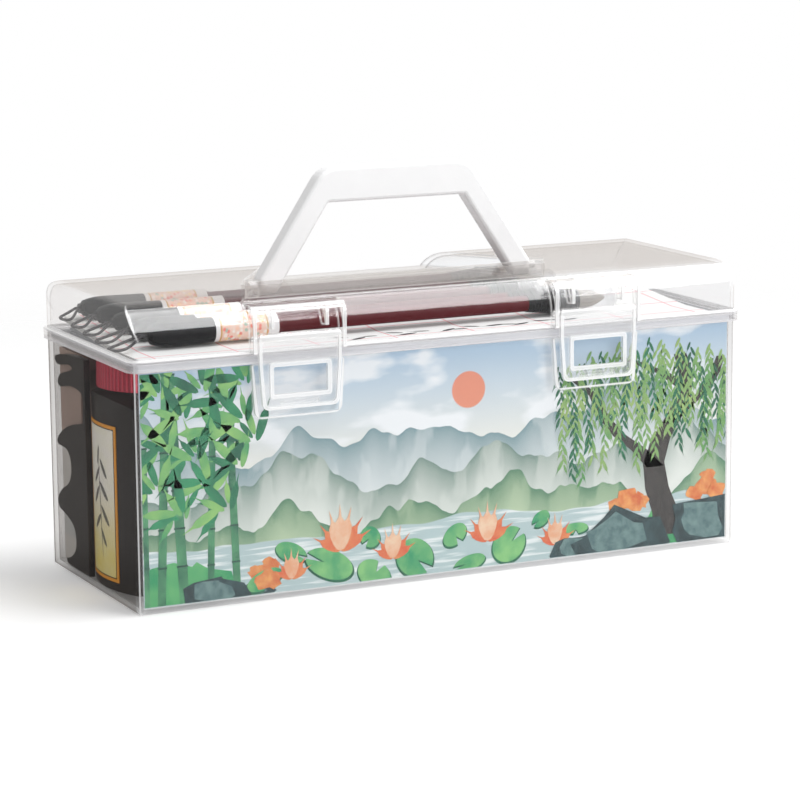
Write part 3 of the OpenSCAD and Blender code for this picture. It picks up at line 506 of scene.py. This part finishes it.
def sleeve_print(x0, x1):
    """A printed paper sleeve: blossom specks over a wash, under pale rings at both ends."""
    m = Look("printed sleeve")
    x = m.axis("X")
    wash = m.mix(m.noise(110.0, 3.0), (0.84, 0.5, 0.4), (0.86, 0.72, 0.62))
    specks = m.add("TexVoronoi", Vector=m.place(), Scale=480.0)
    tint = m.add("ValToRGB", Fac=m.add("SeparateColor", Color=specks.outputs["Color"]).outputs[0])
    ramp = tint.color_ramp
    ramp.interpolation = "CONSTANT"
    ramp.elements[1].position = BLOSSOMS[1][0]
    for position, _ in BLOSSOMS[2:]:
        ramp.elements.new(position)
    for stop, (_, colour) in zip(ramp.elements, BLOSSOMS):
        stop.color = (*colour, 1)
    near = m.ramp(specks.outputs["Distance"], 0.4, 0.55, 0.85, 0.0)
    ends = m.most(m.band(x, x0, 2.2 * MM), m.band(x, x1, 5.5 * MM))
    ground = m.mix(ends, m.mix(near, wash, tint.outputs["Color"]), (0.78, 0.77, 0.77))
    rule = m.most(m.band(x, x0 + 2.8 * MM, 0.3 * MM), m.band(x, x1 - 6.2 * MM, 0.3 * MM))
    return m.coat(m.mix(rule, ground, (0.6, 0.36, 0.1)), 0.35, m.noise(900.0), 0.05, 0.0002)


def bottle_print():
    """The bottle's label: a gold border, a pale wash and an abstract sprig of ink leaves."""
    low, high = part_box("bottle_label")
    middle, half = (low + high) / 2, (high - low) / 2
    m = Look("bottle label")
    inside = m.math("MINIMUM", *(
        m.less(size, m.abs(m.less(m.axis(letter), at)))
        for letter, at, size in (("Y", middle.y, half.y), ("Z", middle.z, half.z))
    ))
    climb = m.ramp(m.axis("Z"), low.z + 14 * MM, high.z - 12 * MM)
    ground = m.mix(m.ramp(climb, 0.0, 0.6), (0.86, 0.72, 0.2), (0.93, 0.91, 0.86))
    cloud = m.noise(70.0, 4.0, at=(1, 1, 1.6))
    ground = m.mix(m.ramp(cloud, 0.35, 0.65, 0.0, 0.5), ground, (0.86, 0.86, 0.6))
    ink = 0.0
    for across, up, angle, length, width in SPRIG:
        root = (0, middle.y + across * MM, middle.z + up * MM)
        spot = m.add("VectorMath", operation="SUBTRACT", i0=m.coords(), i1=root).outputs[0]
        turned = m.add("VectorRotate", rotation_type="X_AXIS", Vector=spot, Angle=math.radians(angle)).outputs[0]
        round_off = (0, 1 / (width * MM), 1 / (length * MM))
        leaf = m.add("VectorMath", operation="MULTIPLY", i0=turned, i1=round_off).outputs[0]
        ink = m.most(ink, m.ramp(m.reach(leaf), 0.9, 1.0, 0.9, 0.0))
    ground = m.mix(ink, ground, (0.03, 0.03, 0.03))
    border = m.mix(m.ramp(inside, 1.5 * MM, 1.7 * MM), (0.85, 0.36, 0.03), (0.02, 0.014, 0.01))
    picture = m.mix(m.ramp(inside, 2.1 * MM, 2.3 * MM), border, ground)
    return m.coat(picture, 0.4, m.noise(1200.0), 0.05, 0.0002)


def carton_board(name, colour, stripe):
    """Coated board with soft creases and printed bands."""
    m = Look(name)
    board = m.mix(m.noise(45.0, 4.0, 0.6), darker(colour, 0.8), colour)
    bands = m.band(m.math("FRACT", m.times(m.axis("Z"), 23.0)), 0.5, 0.12, 0.02)
    board = m.mix(m.times(bands, 0.6), board, stripe)
    return m.coat(board, 0.65, m.noise(1.0, 3.0, at=(200, 200, 900)), 0.1, 0.0004)


def ribbed_cap():
    """Red moulded plastic with upright grip ribs round its side."""
    low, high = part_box("ink_cap")
    m = Look("ribbed cap")
    x, y = (m.less(m.axis(a), getattr(low + high, a.lower()) / 2) for a in "XY")
    rib = m.math("SINE", m.times(m.math("ARCTAN2", y, x), 72.0))
    round_side = m.ramp(m.axis("Z"), high.z - 2.0 * MM, high.z - 1.4 * MM, 1.0, 0.0)
    rib = m.times(m.ramp(rib, -0.4, 0.6), round_side)
    # Painted shade: the grooves between the ribs are a darker red, as is the band above the ribs
    return m.coat(m.mix(rib, (0.36, 0.02, 0.05), (0.62, 0.05, 0.09)), 0.35, rib, 0.8, 0.0006)


def felt_cloth():
    """Grey wool felt."""
    m = Look("felt")
    fuzz = m.noise(1500.0, 4.0, 0.7)
    return m.coat(m.mix(fuzz, (0.3, 0.31, 0.33), (0.56, 0.57, 0.6)), 1.0, fuzz, 0.7, 0.0006)


def bristle_hair():
    """Starched hair with fine lines along the head."""
    m = Look("bristle hair")
    hair = m.noise(1.0, 3.0, at=(60, 2600, 2600))
    return m.coat(m.mix(hair, (0.2, 0.17, 0.15), (0.62, 0.57, 0.5)), 0.55, hair, 0.6, 0.0004)


def loop_cord():
    """Twisted dark cord."""
    m = Look("loop cord")
    twist = m.add(
        "TexWave", bands_direction="DIAGONAL", Vector=m.place(), Scale=420.0, Distortion=3.0, Detail=2.0,
    ).outputs["Fac"]
    return m.coat(m.mix(twist, (0.012, 0.011, 0.012), (0.06, 0.055, 0.06)), 0.75, twist, 0.6, 0.0003)


def metal(name, colour):
    """Drawn wire."""
    m = Look(name)
    drawn = m.ramp(m.noise(1.0, at=(20, 900, 900)), 0.3, 0.7, 0.22, 0.4)
    return m.coat(colour, drawn, Metallic=1.0)


# Modelling helpers


def edit(on=True):
    bpy.ops.object.mode_set(mode="EDIT" if on else "OBJECT")


def begin():
    """Nothing is selected, and nothing is being edited."""
    if bpy.context.mode != "OBJECT":
        edit(False)
    bpy.ops.object.select_all(action="DESELECT")


def pick(piece, test, edges=False):
    """In edit mode, selects the vertices that pass the test, or the edges whose middles do."""
    bpy.ops.mesh.select_mode(type="EDGE" if edges else "VERT")
    bpy.ops.mesh.select_all(action="DESELECT")
    edit(False)
    mesh = piece.data
    for item in mesh.edges if edges else mesh.vertices:
        middle = sum((mesh.vertices[v].co for v in item.vertices), Vector()) / 2 if edges else item.co
        item.select = bool(test(middle))
    edit()


def opened():
    """The new piece, with its place in its mesh, open in edit mode with all of it selected."""
    bpy.ops.object.transform_apply()
    edit()
    bpy.ops.mesh.select_all(action="SELECT")
    return bpy.context.object


def resize(*value, **options):
    bpy.ops.transform.resize(value=value, **options)


def draw_out(*value):
    """Extrudes what is selected."""
    bpy.ops.mesh.extrude_region_move(TRANSFORM_OT_translate={"value": value})


def sized(*value):
    """The new piece, scaled in its mesh, which takes up its place too."""
    edit()
    resize(*value)
    edit(False)
    bpy.ops.object.transform_apply()
    return bpy.context.object


def turn_outward():
    """Turns the faces outward and leaves edit mode."""
    bpy.ops.mesh.select_all(action="SELECT")
    bpy.ops.mesh.normals_make_consistent(inside=False)
    edit(False)


def modified(piece, kind, **settings):
    """Applies one modifier."""
    modifier = piece.modifiers.new(kind, kind)
    for key, value in settings.items():
        setattr(modifier, key, value)
    bpy.ops.object.modifier_apply(modifier=modifier.name)
    return piece


def copy_at(piece, matrix):
    """A copy with its own mesh, placed by a matrix."""
    twin = piece.copy()
    twin.data = piece.data.copy()
    bpy.context.collection.objects.link(twin)
    return set_at(twin, matrix)


def set_at(piece, matrix):
    piece.matrix_world = matrix
    return piece


def joined(pieces, name):
    """Joins pieces into one whose place is in its mesh."""
    begin()
    for piece in pieces:
        piece.select_set(True)
    bpy.context.view_layer.objects.active = pieces[0]
    if len(pieces) > 1:
        bpy.ops.object.join()
    bpy.ops.object.transform_apply()
    piece = bpy.context.object
    piece.name = name
    return piece


def pack_in(piece, slot, material, *replaced):
    """A finished piece gets its material and the tub as its body, and takes the place of CAD nodes."""
    dress(piece, material)
    if replaced:
        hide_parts(*replaced)
    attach(piece, "tub")


# Paper, felt and brushes


def bed_line():
    """The line where the paper starts to climb, and its slope behind it."""
    low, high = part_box("practice_paper")
    front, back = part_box("brush_1_knob")
    start = (front.y + back.y) / 2 - (back.y - front.y) * 0.15
    return start, (high.z - low.z - SHEAF_T) / (high.y - start)


def flat_sheet(size_x, y0, y1, z, crease, slope, thickness):
    """A sheet that lies flat up to its crease and climbs behind it."""
    bpy.ops.mesh.primitive_plane_add(size=1, location=(0, (y0 + crease) / 2, z))
    piece = sized(size_x, crease - y0, 1)
    edit()
    pick(piece, lambda c: c.y > crease - 0.1 * MM, edges=True)
    draw_out(0, y1 - crease, (y1 - crease) * slope)
    turn_outward()
    return modified(piece, "SOLIDIFY", thickness=thickness, offset=0)


class CASE_OT_paper(bpy.types.Operator):
    """Lays the practice paper as a sheaf of folded sheets, with ink strokes on the top one"""

    bl_idname = "case.paper"
    bl_label = "Practice paper"

    def execute(self, context):
        low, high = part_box("practice_paper")
        crease, slope = bed_line()
        step = SHEAF_T / len(SLIDES)
        sheets = []
        for i, (aside, back) in enumerate(SLIDES):
            begin()
            piece = flat_sheet(
                high.x - low.x - 1.6 * MM, low.y + back * MM, high.y - 0.2 * MM - back * MM,
                low.z + step * (i + 0.5), crease, slope, step * 0.86,
            )
            piece.location.x += aside * MM
            sheets.append(piece)
        pack_in(joined(sheets, "paper_sheaf"), "paper", practice_sheet(), "practice_paper")

        leaf = leaf_shape("stroke")
        lay_flat = Matrix.Rotation(-QUARTER, 4, "X")
        strokes = []
        top = low.z + SHEAF_T - step * 0.07 + 0.03 * MM
        for x, y, angle, size in STROKES:
            spot = Matrix.Translation((x * MM, y * MM, top)) @ Matrix.Rotation(math.radians(angle), 4, "Z")
            strokes.append(copy_at(leaf, spot @ lay_flat @ Matrix.Scale(size, 4)))
        bpy.data.objects.remove(leaf)
        pack_in(joined(strokes, "ink_strokes"), "paper", plain("brushed ink", (0.02, 0.02, 0.022), 0.5, 0.4))
        return {"FINISHED"}


class CASE_OT_felt(bpy.types.Operator):
    """Folds the felt mat under the paper, once more towards the back"""

    bl_idname = "case.felt"
    bl_label = "Felt mat"

    def execute(self, context):
        low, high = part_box("felt_mat")
        step = (high.z - low.z) / FOLDS
        slope = (high.z - low.z) / (high.y - low.y)
        back = high.y - 0.3 * MM
        folds = []
        for i in range(FOLDS):
            begin()
            front = min(low.y + step * (i + 1) / slope - 1 * MM, back - 4 * MM)
            bpy.ops.mesh.primitive_cube_add(size=1, location=(0, (front + back) / 2, low.z + step * (i + 0.47)))
            piece = sized(high.x - low.x - 0.6 * MM * i, back - front, step * 0.86)
            folds.append(modified(piece, "BEVEL", width=step * 0.4, segments=3))
        felt = joined(folds, "folded_felt")
        bpy.ops.object.shade_smooth_by_angle(angle=math.radians(40))
        pack_in(felt, "felt", felt_cloth(), "felt_mat")
        return {"FINISHED"}


class CASE_OT_bristles(bpy.types.Operator):
    """Draws each brush head out to a grooved point"""

    bl_idname = "case.bristles"
    bl_label = "Bristles"

    def execute(self, context):
        material = bristle_hair()
        for i in BRUSHES:
            begin()
            node = f"brush_{i}_bristles"
            low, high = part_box(node)
            length = high.x - low.x
            middle = (low + high) / 2
            bpy.ops.mesh.primitive_circle_add(
                vertices=3 * GROOVES, radius=(high.z - low.z) / 2 * 0.98, location=(low.x, middle.y, middle.z),
                rotation=(0, QUARTER, 0), fill_type="NGON",
            )
            tuft = opened()
            reached, across = 0.0, 1.0
            for far, wide in TUFT:
                draw_out(length * (far - reached) * 0.985, 0, 0)
                resize(1, wide / across, wide / across)
                reached, across = far, wide
            pick(tuft, groove_test(low.x + length * TUFT[1][0] - 0.1 * MM, middle))
            resize(1, 0.9, 0.9, center_override=middle)
            turn_outward()
            bpy.ops.object.shade_smooth()
            tuft.name = f"brush_{i}_tuft"
            pack_in(tuft, "bristle", material, node)
        return {"FINISHED"}


def groove_test(start, middle):
    """Passes every third line of vertices beyond the start, which become the grooves between the hairs."""
    def test(c):
        turn = math.atan2(c.z - middle.z, c.y - middle.y) / (2 * math.pi) * GROOVES
        return c.x > start and abs(turn - round(turn)) < 0.2
    return test


class CASE_OT_loops(bpy.types.Operator):
    """Hangs a limp loop of cord from the end of each brush"""

    bl_idname = "case.loops"
    bl_label = "Hanging loops"

    def execute(self, context):
        material = loop_cord()
        for i in BRUSHES:
            begin()
            node = f"brush_{i}_loop"
            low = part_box(node)[0]
            near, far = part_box(f"brush_{i}_knob")
            start = (near + far) / 2
            start.x = near.x
            reach = start.x - low.x - LOOP_D / 2
            droop = start.z - low.z - LOOP_D / 2
            marks = [Vector((-a * reach, b * MM, -c * droop)) + start for a, b, c in LOOP_ROUTE]
            points = [marks[0], *smooth_line(marks[1:-1], 2), marks[-1]]
            bpy.ops.curve.primitive_nurbs_path_add()
            loop = context.object
            loop.location = (0, 0, 0)
            edit()
            bpy.ops.curve.delete(type="VERT")
            edit(False)
            spline = loop.data.splines.new("POLY")
            spline.points.add(len(points) - 1)
            for point, spot in zip(spline.points, points):
                point.co = (*spot, 1)
            loop.data.bevel_depth = LOOP_D / 2
            loop.data.bevel_resolution = 3
            loop.data.use_fill_caps = True
            loop.name = f"brush_{i}_cord"
            pack_in(loop, "loop_cord", material, node)
        return {"FINISHED"}


def smooth_line(points, steps):
    """A smooth line through the points, with this many steps between each two."""
    line = []
    last = len(points) - 1
    for i in range(last):
        a, b, c, d = (points[k] for k in (max(i - 1, 0), i, i + 1, min(i + 2, last)))
        for j in range(steps):
            t = j / steps
            line.append(
                0.5 * (2 * b + (c - a) * t + (2 * a - 5 * b + 4 * c - d) * t**2 + (3 * b - a - 3 * c + d) * t**3)
            )
    return line + [points[last]]


# The printed card's picture


def disc(corners, radius, **place):
    """A disc in the card's plane."""
    begin()
    bpy.ops.mesh.primitive_circle_add(
        vertices=corners, radius=radius, fill_type="NGON", rotation=(QUARTER, 0, 0), **place,
    )
    return opened()


def leaf_shape(name):
    """A leaf 10 mm long, upright in the card's plane, rooted at the origin and pointing up."""
    leaf = disc(12, 5 * MM, location=(0, 0, 5 * MM))
    resize(0.26, 1, 1)
    pick(leaf, lambda c: c.z > 8.5 * MM)
    resize(0.45, 1, 1)
    pick(leaf, lambda c: c.z > 9.9 * MM)
    bpy.ops.transform.translate(value=(0, 0, 3 * MM))
    edit(False)
    leaf.name = name
    return leaf


def on_card(x, z, layer, angle=0.0, size=1.0, flat=1.0):
    """A place on the card, in millimetres from under the case's middle, turned by degrees."""
    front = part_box("printed_card")[0].y
    spot = Matrix.Translation((x * MM, front - layer * 0.02 * MM, z * MM))
    return spot @ Matrix.Rotation(math.radians(angle), 4, "Y") @ Matrix.Diagonal((size * flat, 1, size, 1))


def blob(name, corners, rough=0.0, seed=0):
    """A disc of 10 mm radius in the card's plane, with a rougher outline where asked."""
    piece = disc(corners, 10 * MM)
    piece.name = name
    if rough:
        bpy.ops.transform.vertex_random(offset=rough * MM, uniform=1.0, seed=seed)
        resize(1, 0, 1)
    edit(False)
    return piece


def stem(points, width, name, taper=1.0):
    """A flat stem along a line of points on the card, given as (x, z) in millimetres."""
    begin()
    bpy.ops.mesh.primitive_plane_add(size=1, rotation=(QUARTER, 0, 0))
    piece = opened()
    start = Vector(points[0])
    resize(width * MM, 1, 0.01 * MM)
    bpy.ops.transform.translate(value=(start.x * MM, 0, start.y * MM))
    pick(piece, lambda c: c.z > start.y * MM, edges=True)
    for before, after in zip(points, points[1:]):
        move = (Vector(after) - Vector(before)) * MM
        draw_out(move.x, 0, move.y)
        resize(taper, 1, taper)
    edit(False)
    piece.name = name
    return piece


def trim_to_card(piece):
    """Cuts off what lies over the card's edges."""
    low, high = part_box("printed_card")
    edit()
    for corner, away in ((low, (-1, 0, 0)), (low, (0, 0, -1)), (high, (1, 0, 0)), (high, (0, 0, 1))):
        inset = Vector(away) * 0.4 * MM
        bpy.ops.mesh.select_all(action="SELECT")
        bpy.ops.mesh.bisect(plane_co=corner - inset, plane_no=away, clear_outer=True)
    edit(False)


class CASE_OT_card(bpy.types.Operator):
    """Prints the card: hills and water, with bamboo, a willow and lotus in front"""

    bl_idname = "case.card"
    bl_label = "Printed card"

    def execute(self, context):
        dress("printed_card", landscape())

        def lay(pieces, name, *paint):
            piece = joined(pieces, name)
            trim_to_card(piece)
            pack_in(piece, "printed_card", painted(*paint))

        # Rocks at both ends, with lit tops
        rocks, tops = [], []
        for k, (x, z, size, flat) in enumerate(ROCKS):
            rock = blob("rock", 11, 2.6, k + 3)
            rocks.append(copy_at(rock, on_card(x, z, 3, 0, size, flat)))
            tops.append(copy_at(rock, on_card(x - size, z + size * 2.4, 4, 8, size * 0.62, flat)))
            bpy.data.objects.remove(rock)
        lay(rocks, "card_rocks", "rock paint", (0.012, 0.03, 0.034), (0.035, 0.075, 0.085), 90)
        lay(tops, "card_rock_tops", "rock light", (0.07, 0.14, 0.15), (0.16, 0.26, 0.25), 120)

        # Grassy banks at both ends, and orange shrubs on them
        banks, shrubs = [], []
        for k, (x, z, size, flat) in enumerate(BANKS):
            banks.append(set_at(blob("bank", 30, 1.2, k), on_card(x, z, 2, 0, size, flat)))
        for k, (x, z, size) in enumerate(SHRUBS):
            shrubs.append(set_at(blob("shrub", 16, 2.4, k), on_card(x, z, 2.6 + 0.2 * (k % 3), 0, size, 1.3)))
        lay(banks, "card_banks", "bank paint", (0.03, 0.3, 0.12), (0.16, 0.5, 0.18), 26)
        lay(shrubs, "card_shrubs", "shrub paint", (0.62, 0.13, 0.04), (0.8, 0.36, 0.12), 90)

        # Willow trunk and boughs, then its hanging leaves
        boughs = [set_at(stem(line, width, "bough", taper), on_card(0, 0, 5)) for line, width, taper in BOUGHS]
        lay(boughs, "card_boughs", "bark paint", (0.02, 0.016, 0.015), (0.05, 0.042, 0.038), 160)
        leaf = leaf_shape("willow_leaf")
        dark, light = [], []
        for n, (x, z, drop) in enumerate(STRANDS):
            for k in range(int(drop / STRAND_STEP)):
                side = 1 if k % 2 else -1
                sway = math.sin(n * 1.7 + k * 0.25) * 1.4
                spot = on_card(
                    x + sway, z - k * STRAND_STEP, 6 + n % 2 * 0.4 + k % 2 * 0.2,
                    180 - side * (16 + (n * 13 + k * 7) % 16), 0.5 + 0.1 * ((n + k) % 3),
                )
                (light if n % 3 else dark).append(copy_at(leaf, spot))
        lay(dark, "card_willow_dark", "deep leaf", (0.013, 0.09, 0.045), (0.02, 0.18, 0.085), 30)
        lay(light, "card_willow_light", "fresh leaf", (0.09, 0.29, 0.09), (0.32, 0.47, 0.16), 22)

        # Bamboo canes with their joints, and sprays of leaves
        canes, rings = [], []
        for x, z0, z1, lean, width in CANES:
            count = round((z1 - z0) / 19)
            step = (z1 - z0) / count
            for k in range(count):
                a, b = z0 + step * k, z0 + step * (k + 1)
                line = [(x + lean * h, h) for h in (a, a + 6, b - 6, b - 0.5)]
                canes.append(set_at(stem(line, width, "cane"), on_card(0, 0, 5)))
                ring = [(x + lean * b, b - 0.9), (x + lean * b, b)]
                rings.append(set_at(stem(ring, width * 1.16, "ring"), on_card(0, 0, 5.5)))
        lay(canes, "card_canes", "cane paint", (0.02, 0.12, 0.07), (0.1, 0.34, 0.16), 45)
        lay(rings, "card_cane_rings", "cane joint", (0.008, 0.05, 0.035), (0.015, 0.09, 0.06), 60)
        dark, light = [], []
        for n, (x, z) in enumerate(SPRAYS):
            for k in range(7):
                angle = -150 + k * 26 + (n * 23 + k * 11) % 17
                layer, size = 6 + (n + k) % 3, 1.1 + 0.35 * ((n + k) % 3)
                spot = on_card(x + (k - 3) * 1.1, z + (k % 3) * 1.6, layer, angle, size)
                (dark if (n + k) % 2 else light).append(copy_at(leaf, spot))
        lay(dark, "card_bamboo_dark", "bamboo deep", (0.01, 0.11, 0.06), (0.03, 0.28, 0.12), 25)
        lay(light, "card_bamboo_light", "bamboo light", (0.07, 0.33, 0.13), (0.3, 0.56, 0.17), 28)

        # Lotus pads on the water, each with its notch, and their flowers
        pad = blob("pad", 28)
        edit()
        pick(pad, lambda c: c.x > 9.9 * MM)
        bpy.ops.transform.translate(value=(-8 * MM, 0, 0))
        edit(False)
        pads, rims = [], []
        for x, z, size, turn in PADS:
            squeeze = Matrix.Diagonal((size, 1, size * 0.4, 1))
            spin = Matrix.Rotation(math.radians(turn), 4, "Y")
            rims.append(copy_at(pad, on_card(x, z - 0.8, 5) @ squeeze @ Matrix.Scale(1.07, 4) @ spin))
            pads.append(copy_at(pad, on_card(x, z, 5.6) @ squeeze @ spin))
        bpy.data.objects.remove(pad)
        lay(rims, "card_pad_rims", "pad rim", (0.008, 0.09, 0.05), (0.015, 0.16, 0.08), 40)
        lay(pads, "card_pads", "pad", (0.03, 0.3, 0.13), (0.24, 0.55, 0.2), 34)
        petals, hearts = [], []
        for x, z, size in FLOWERS:
            for k, angle in enumerate((-62, -38, 62, 38, -16, 16, 0)):
                spot = on_card(x, z, 7 + k * 0.25, angle, size * (0.75 + 0.05 * k), 1.5)
                (hearts if k > 3 else petals).append(copy_at(leaf, spot))
        bpy.data.objects.remove(leaf)
        lay(petals, "card_petals", "outer petal", (0.7, 0.12, 0.05), (0.75, 0.26, 0.1), 60)
        lay(hearts, "card_inner_petals", "inner petal", (0.78, 0.36, 0.2), (0.85, 0.6, 0.42), 70)
        return {"FINISHED"}


# Stage, case and contents


def seen_ray(m):
    """1 for what the camera sees, straight or in a reflection, and 0 for light that falls on things."""
    path = m.add("LightPath").outputs
    return m.most(m.most(path["Is Camera Ray"], path["Is Transmission Ray"]), path["Is Glossy Ray"])


def lamp(name, target, spot, length, width, power, *nodes):
    """A lamp turned to the target. It isn't reflected, and lights these nodes only, where any are named."""
    bpy.ops.object.light_add(type="AREA", location=spot)
    light = bpy.context.object
    light.name = name
    light.data.shape = "RECTANGLE"
    light.data.size = length
    light.data.size_y = width
    light.data.energy = power
    light.rotation_euler = (target - Vector(spot)).to_track_quat("-Z", "Y").to_euler()
    light.visible_glossy = False
    if nodes:
        chosen = bpy.data.collections.new(name)
        for node in nodes:
            chosen.objects.link(NODES[node])
        light.light_linking.receiver_collection = chosen
    return light


def lay_floor(stage):
    """A round white floor that fades away towards its rim."""
    bpy.ops.mesh.primitive_circle_add(
        vertices=96, radius=stage.floor_radius, fill_type="NGON", location=(0, 0, -0.3 * MM),
    )
    floor = bpy.context.object
    floor.name = "floor"
    bpy.ops.object.transform_apply()
    m = Look("floor")
    m.coat((0.94, 0.94, 0.94), 0.9)
    glow = m.add("Emission", Strength=m.times(seen_ray(m), stage.floor_glow)).outputs[0]
    lit = m.add("AddShader", i0=m.coated(), i1=glow).outputs[0]
    fade = m.ramp(m.reach(m.coords()), stage.floor_radius * 0.35, stage.floor_radius * 0.98)
    dress(floor, m.end(m.blend(fade, lit, m.add("BsdfTransparent").outputs[0])))


class CASE_OT_stage(bpy.types.Operator):
    """Adds the floor, the daylight, the lamps and the camera"""

    bl_idname = "case.stage"
    bl_label = "Stage"

    def execute(self, context):
        scene = context.scene
        stage = scene.case_stage
        scene.view_settings.view_transform = "Standard"
        scene.cycles.transparent_max_bounces = 48
        scene.world = bpy.data.worlds.new("Daylight")
        m = Look(scene.world)
        sky = m.tree.nodes["Background"].inputs
        m.feed(sky["Strength"], m.ramp(seen_ray(m), 0.0, 1.0, stage.daylight, 1.0))
        m.feed(sky["Color"], (1, 1, 1))
        lay_floor(stage)

        target = Vector(stage.target)
        lamp("softbox", target, (0.35, -0.2, 1.1), 0.7, 0.6, stage.softbox_power)
        lamp("front lamp", target, (0.75, -1.5, 0.75), 1.0, 0.8, stage.front_power)
        # The softbox's sheen on the lid's long rounded edge, which the things inside don't take
        sheen = lamp("sheen", target, (0.585, -0.565, 1.1), 0.93, 2.07, stage.sheen_power, "lid", *LATCHES)
        sheen.rotation_euler = (0, 0, 0)
        sheen.visible_glossy = True
        sheen.visible_diffuse = False
        # A card that sends light into the left end, behind its wall with the deep painted slant shade
        lamp("fill", target, (-1.1, -0.35, 0.35), 0.7, 0.7, stage.fill_power, *LEFT_END)

        a, e = stage.azimuth, stage.elevation
        away = Vector((-math.sin(a) * math.cos(e), -math.cos(a) * math.cos(e), math.sin(e)))
        bpy.ops.object.camera_add(location=target + away * stage.distance)
        camera = context.object
        look = (-away).to_track_quat("-Z", "Y").to_matrix() @ Matrix.Rotation(stage.roll, 3, "Z")
        camera.rotation_euler = look.to_euler()
        camera.data.lens = stage.lens
        camera.data.sensor_width = 36
        camera.data.clip_start = 0.01
        scene.camera = camera
        return {"FINISHED"}


class CASE_OT_case(bpy.types.Operator):
    """Dresses the clear tub, lid and latches, the handle and the hinge pins"""

    bl_idname = "case.case"
    bl_label = "Case"

    def execute(self, context):
        plastic = context.scene.case_plastic
        # The tub, lid and latches take painted edge highlights and painted shade at a slant
        dress("tub", clear_plastic(
            "tub wall", plastic.tub_haze, 0.8, 0.004, 0.05, DEEP_SLANT_SHADE, ends_only=True, lines=painted_tub_highlights,
        ))
        dress("lid", clear_plastic(
            "lid wall", plastic.lid_haze, 0.95, 0.004, 0.32, FAINT_SLANT_SHADE, lines=painted_lid_highlights, smoke=skirt_smoke,
        ))
        flap = clear_plastic("latch plastic", plastic.latch_haze, 0.95, 0.015, 0.3, FAINT_SLANT_SHADE, lines=painted_latch_highlights)
        pins = metal("drawn wire", (0.7, 0.71, 0.73))
        for node, material in zip((*LATCHES, "hinge_pin_left", "hinge_pin_right"), (flap, flap, pins, pins)):
            dress(node, material)
        dress("carry_handle", moulded("handle plastic", plastic.handle_colour, 0.3))
        return {"FINISHED"}


class CASE_OT_contents(bpy.types.Operator):
    """Dresses everything that is packed in the case"""

    bl_idname = "case.contents"
    bl_label = "Contents"

    def execute(self, context):
        # The brush caps take painted edge highlights and painted shade at a slant
        cap = clear_plastic("brush cap plastic", 0.12, 0.7, 0.03, 0.4, (0.8, 0.8, 0.8), width=0.6)
        looks = {
            "tray": moulded("tray plastic", (0.8, 0.8, 0.82), 0.5),
            "ink_bottle": moulded("dark bottle", (0.018, 0.014, 0.013), 0.28, 0.006),
            "ink": moulded("ink", (0.01, 0.01, 0.012), 0.1),
            "ink_cap": ribbed_cap(),
            "bottle_label": bottle_print(),
            "brush_rest": moulded("glazed rest", (0.027, 0.023, 0.022), 0.3),
            "upper_carton": carton_board("brown carton", (0.4, 0.3, 0.26), (0.55, 0.42, 0.36)),
            "lower_carton": carton_board("pale carton", (0.62, 0.6, 0.57), (0.45, 0.48, 0.48)),
        }
        parts = {"knob": knob_lacquer(), "shaft": red_lacquer(), "ferrule": ferrule_lacquer(), "cap": cap}
        for i in BRUSHES:
            low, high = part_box(f"brush_{i}_sleeve")
            looks[f"brush_{i}_sleeve"] = sleeve_print(low.x, high.x)
            looks.update({f"brush_{i}_{part}": material for part, material in parts.items()})
        for node, material in looks.items():
            dress(node, material)
        return {"FINISHED"}


class CASE_PT_panel(bpy.types.Panel):
    bl_label = "Calligraphy case"
    bl_idname = "CASE_PT_panel"
    bl_space_type = "VIEW_3D"
    bl_region_type = "UI"
    bl_category = "Case"

    def draw(self, context):
        for settings in (context.scene.case_stage, context.scene.case_plastic):
            for key in settings.__annotations__:
                self.layout.prop(settings, key)
        for operator in OPERATORS:
            self.layout.operator(operator.bl_idname)


SETTINGS = {"case_stage": CaseStage, "case_plastic": CasePlastic}
OPERATORS = (
    CASE_OT_stage, CASE_OT_loops, CASE_OT_case, CASE_OT_contents, CASE_OT_card, CASE_OT_paper, CASE_OT_felt,
    CASE_OT_bristles,
)
CLASSES = (*SETTINGS.values(), *OPERATORS, CASE_PT_panel)


def register():
    for kind in CLASSES:
        bpy.utils.register_class(kind)
    for name, settings in SETTINGS.items():
        setattr(bpy.types.Scene, name, PointerProperty(type=settings))


def unregister():
    for name in SETTINGS:
        delattr(bpy.types.Scene, name)
    for kind in reversed(CLASSES):
        bpy.utils.unregister_class(kind)


def main():
    register()
    bpy.ops.object.select_all(action="DESELECT")
    for operator in OPERATORS:
        group, _, name = operator.bl_idname.partition(".")
        getattr(getattr(bpy.ops, group), name)()


if __name__ == "__main__":
    main()
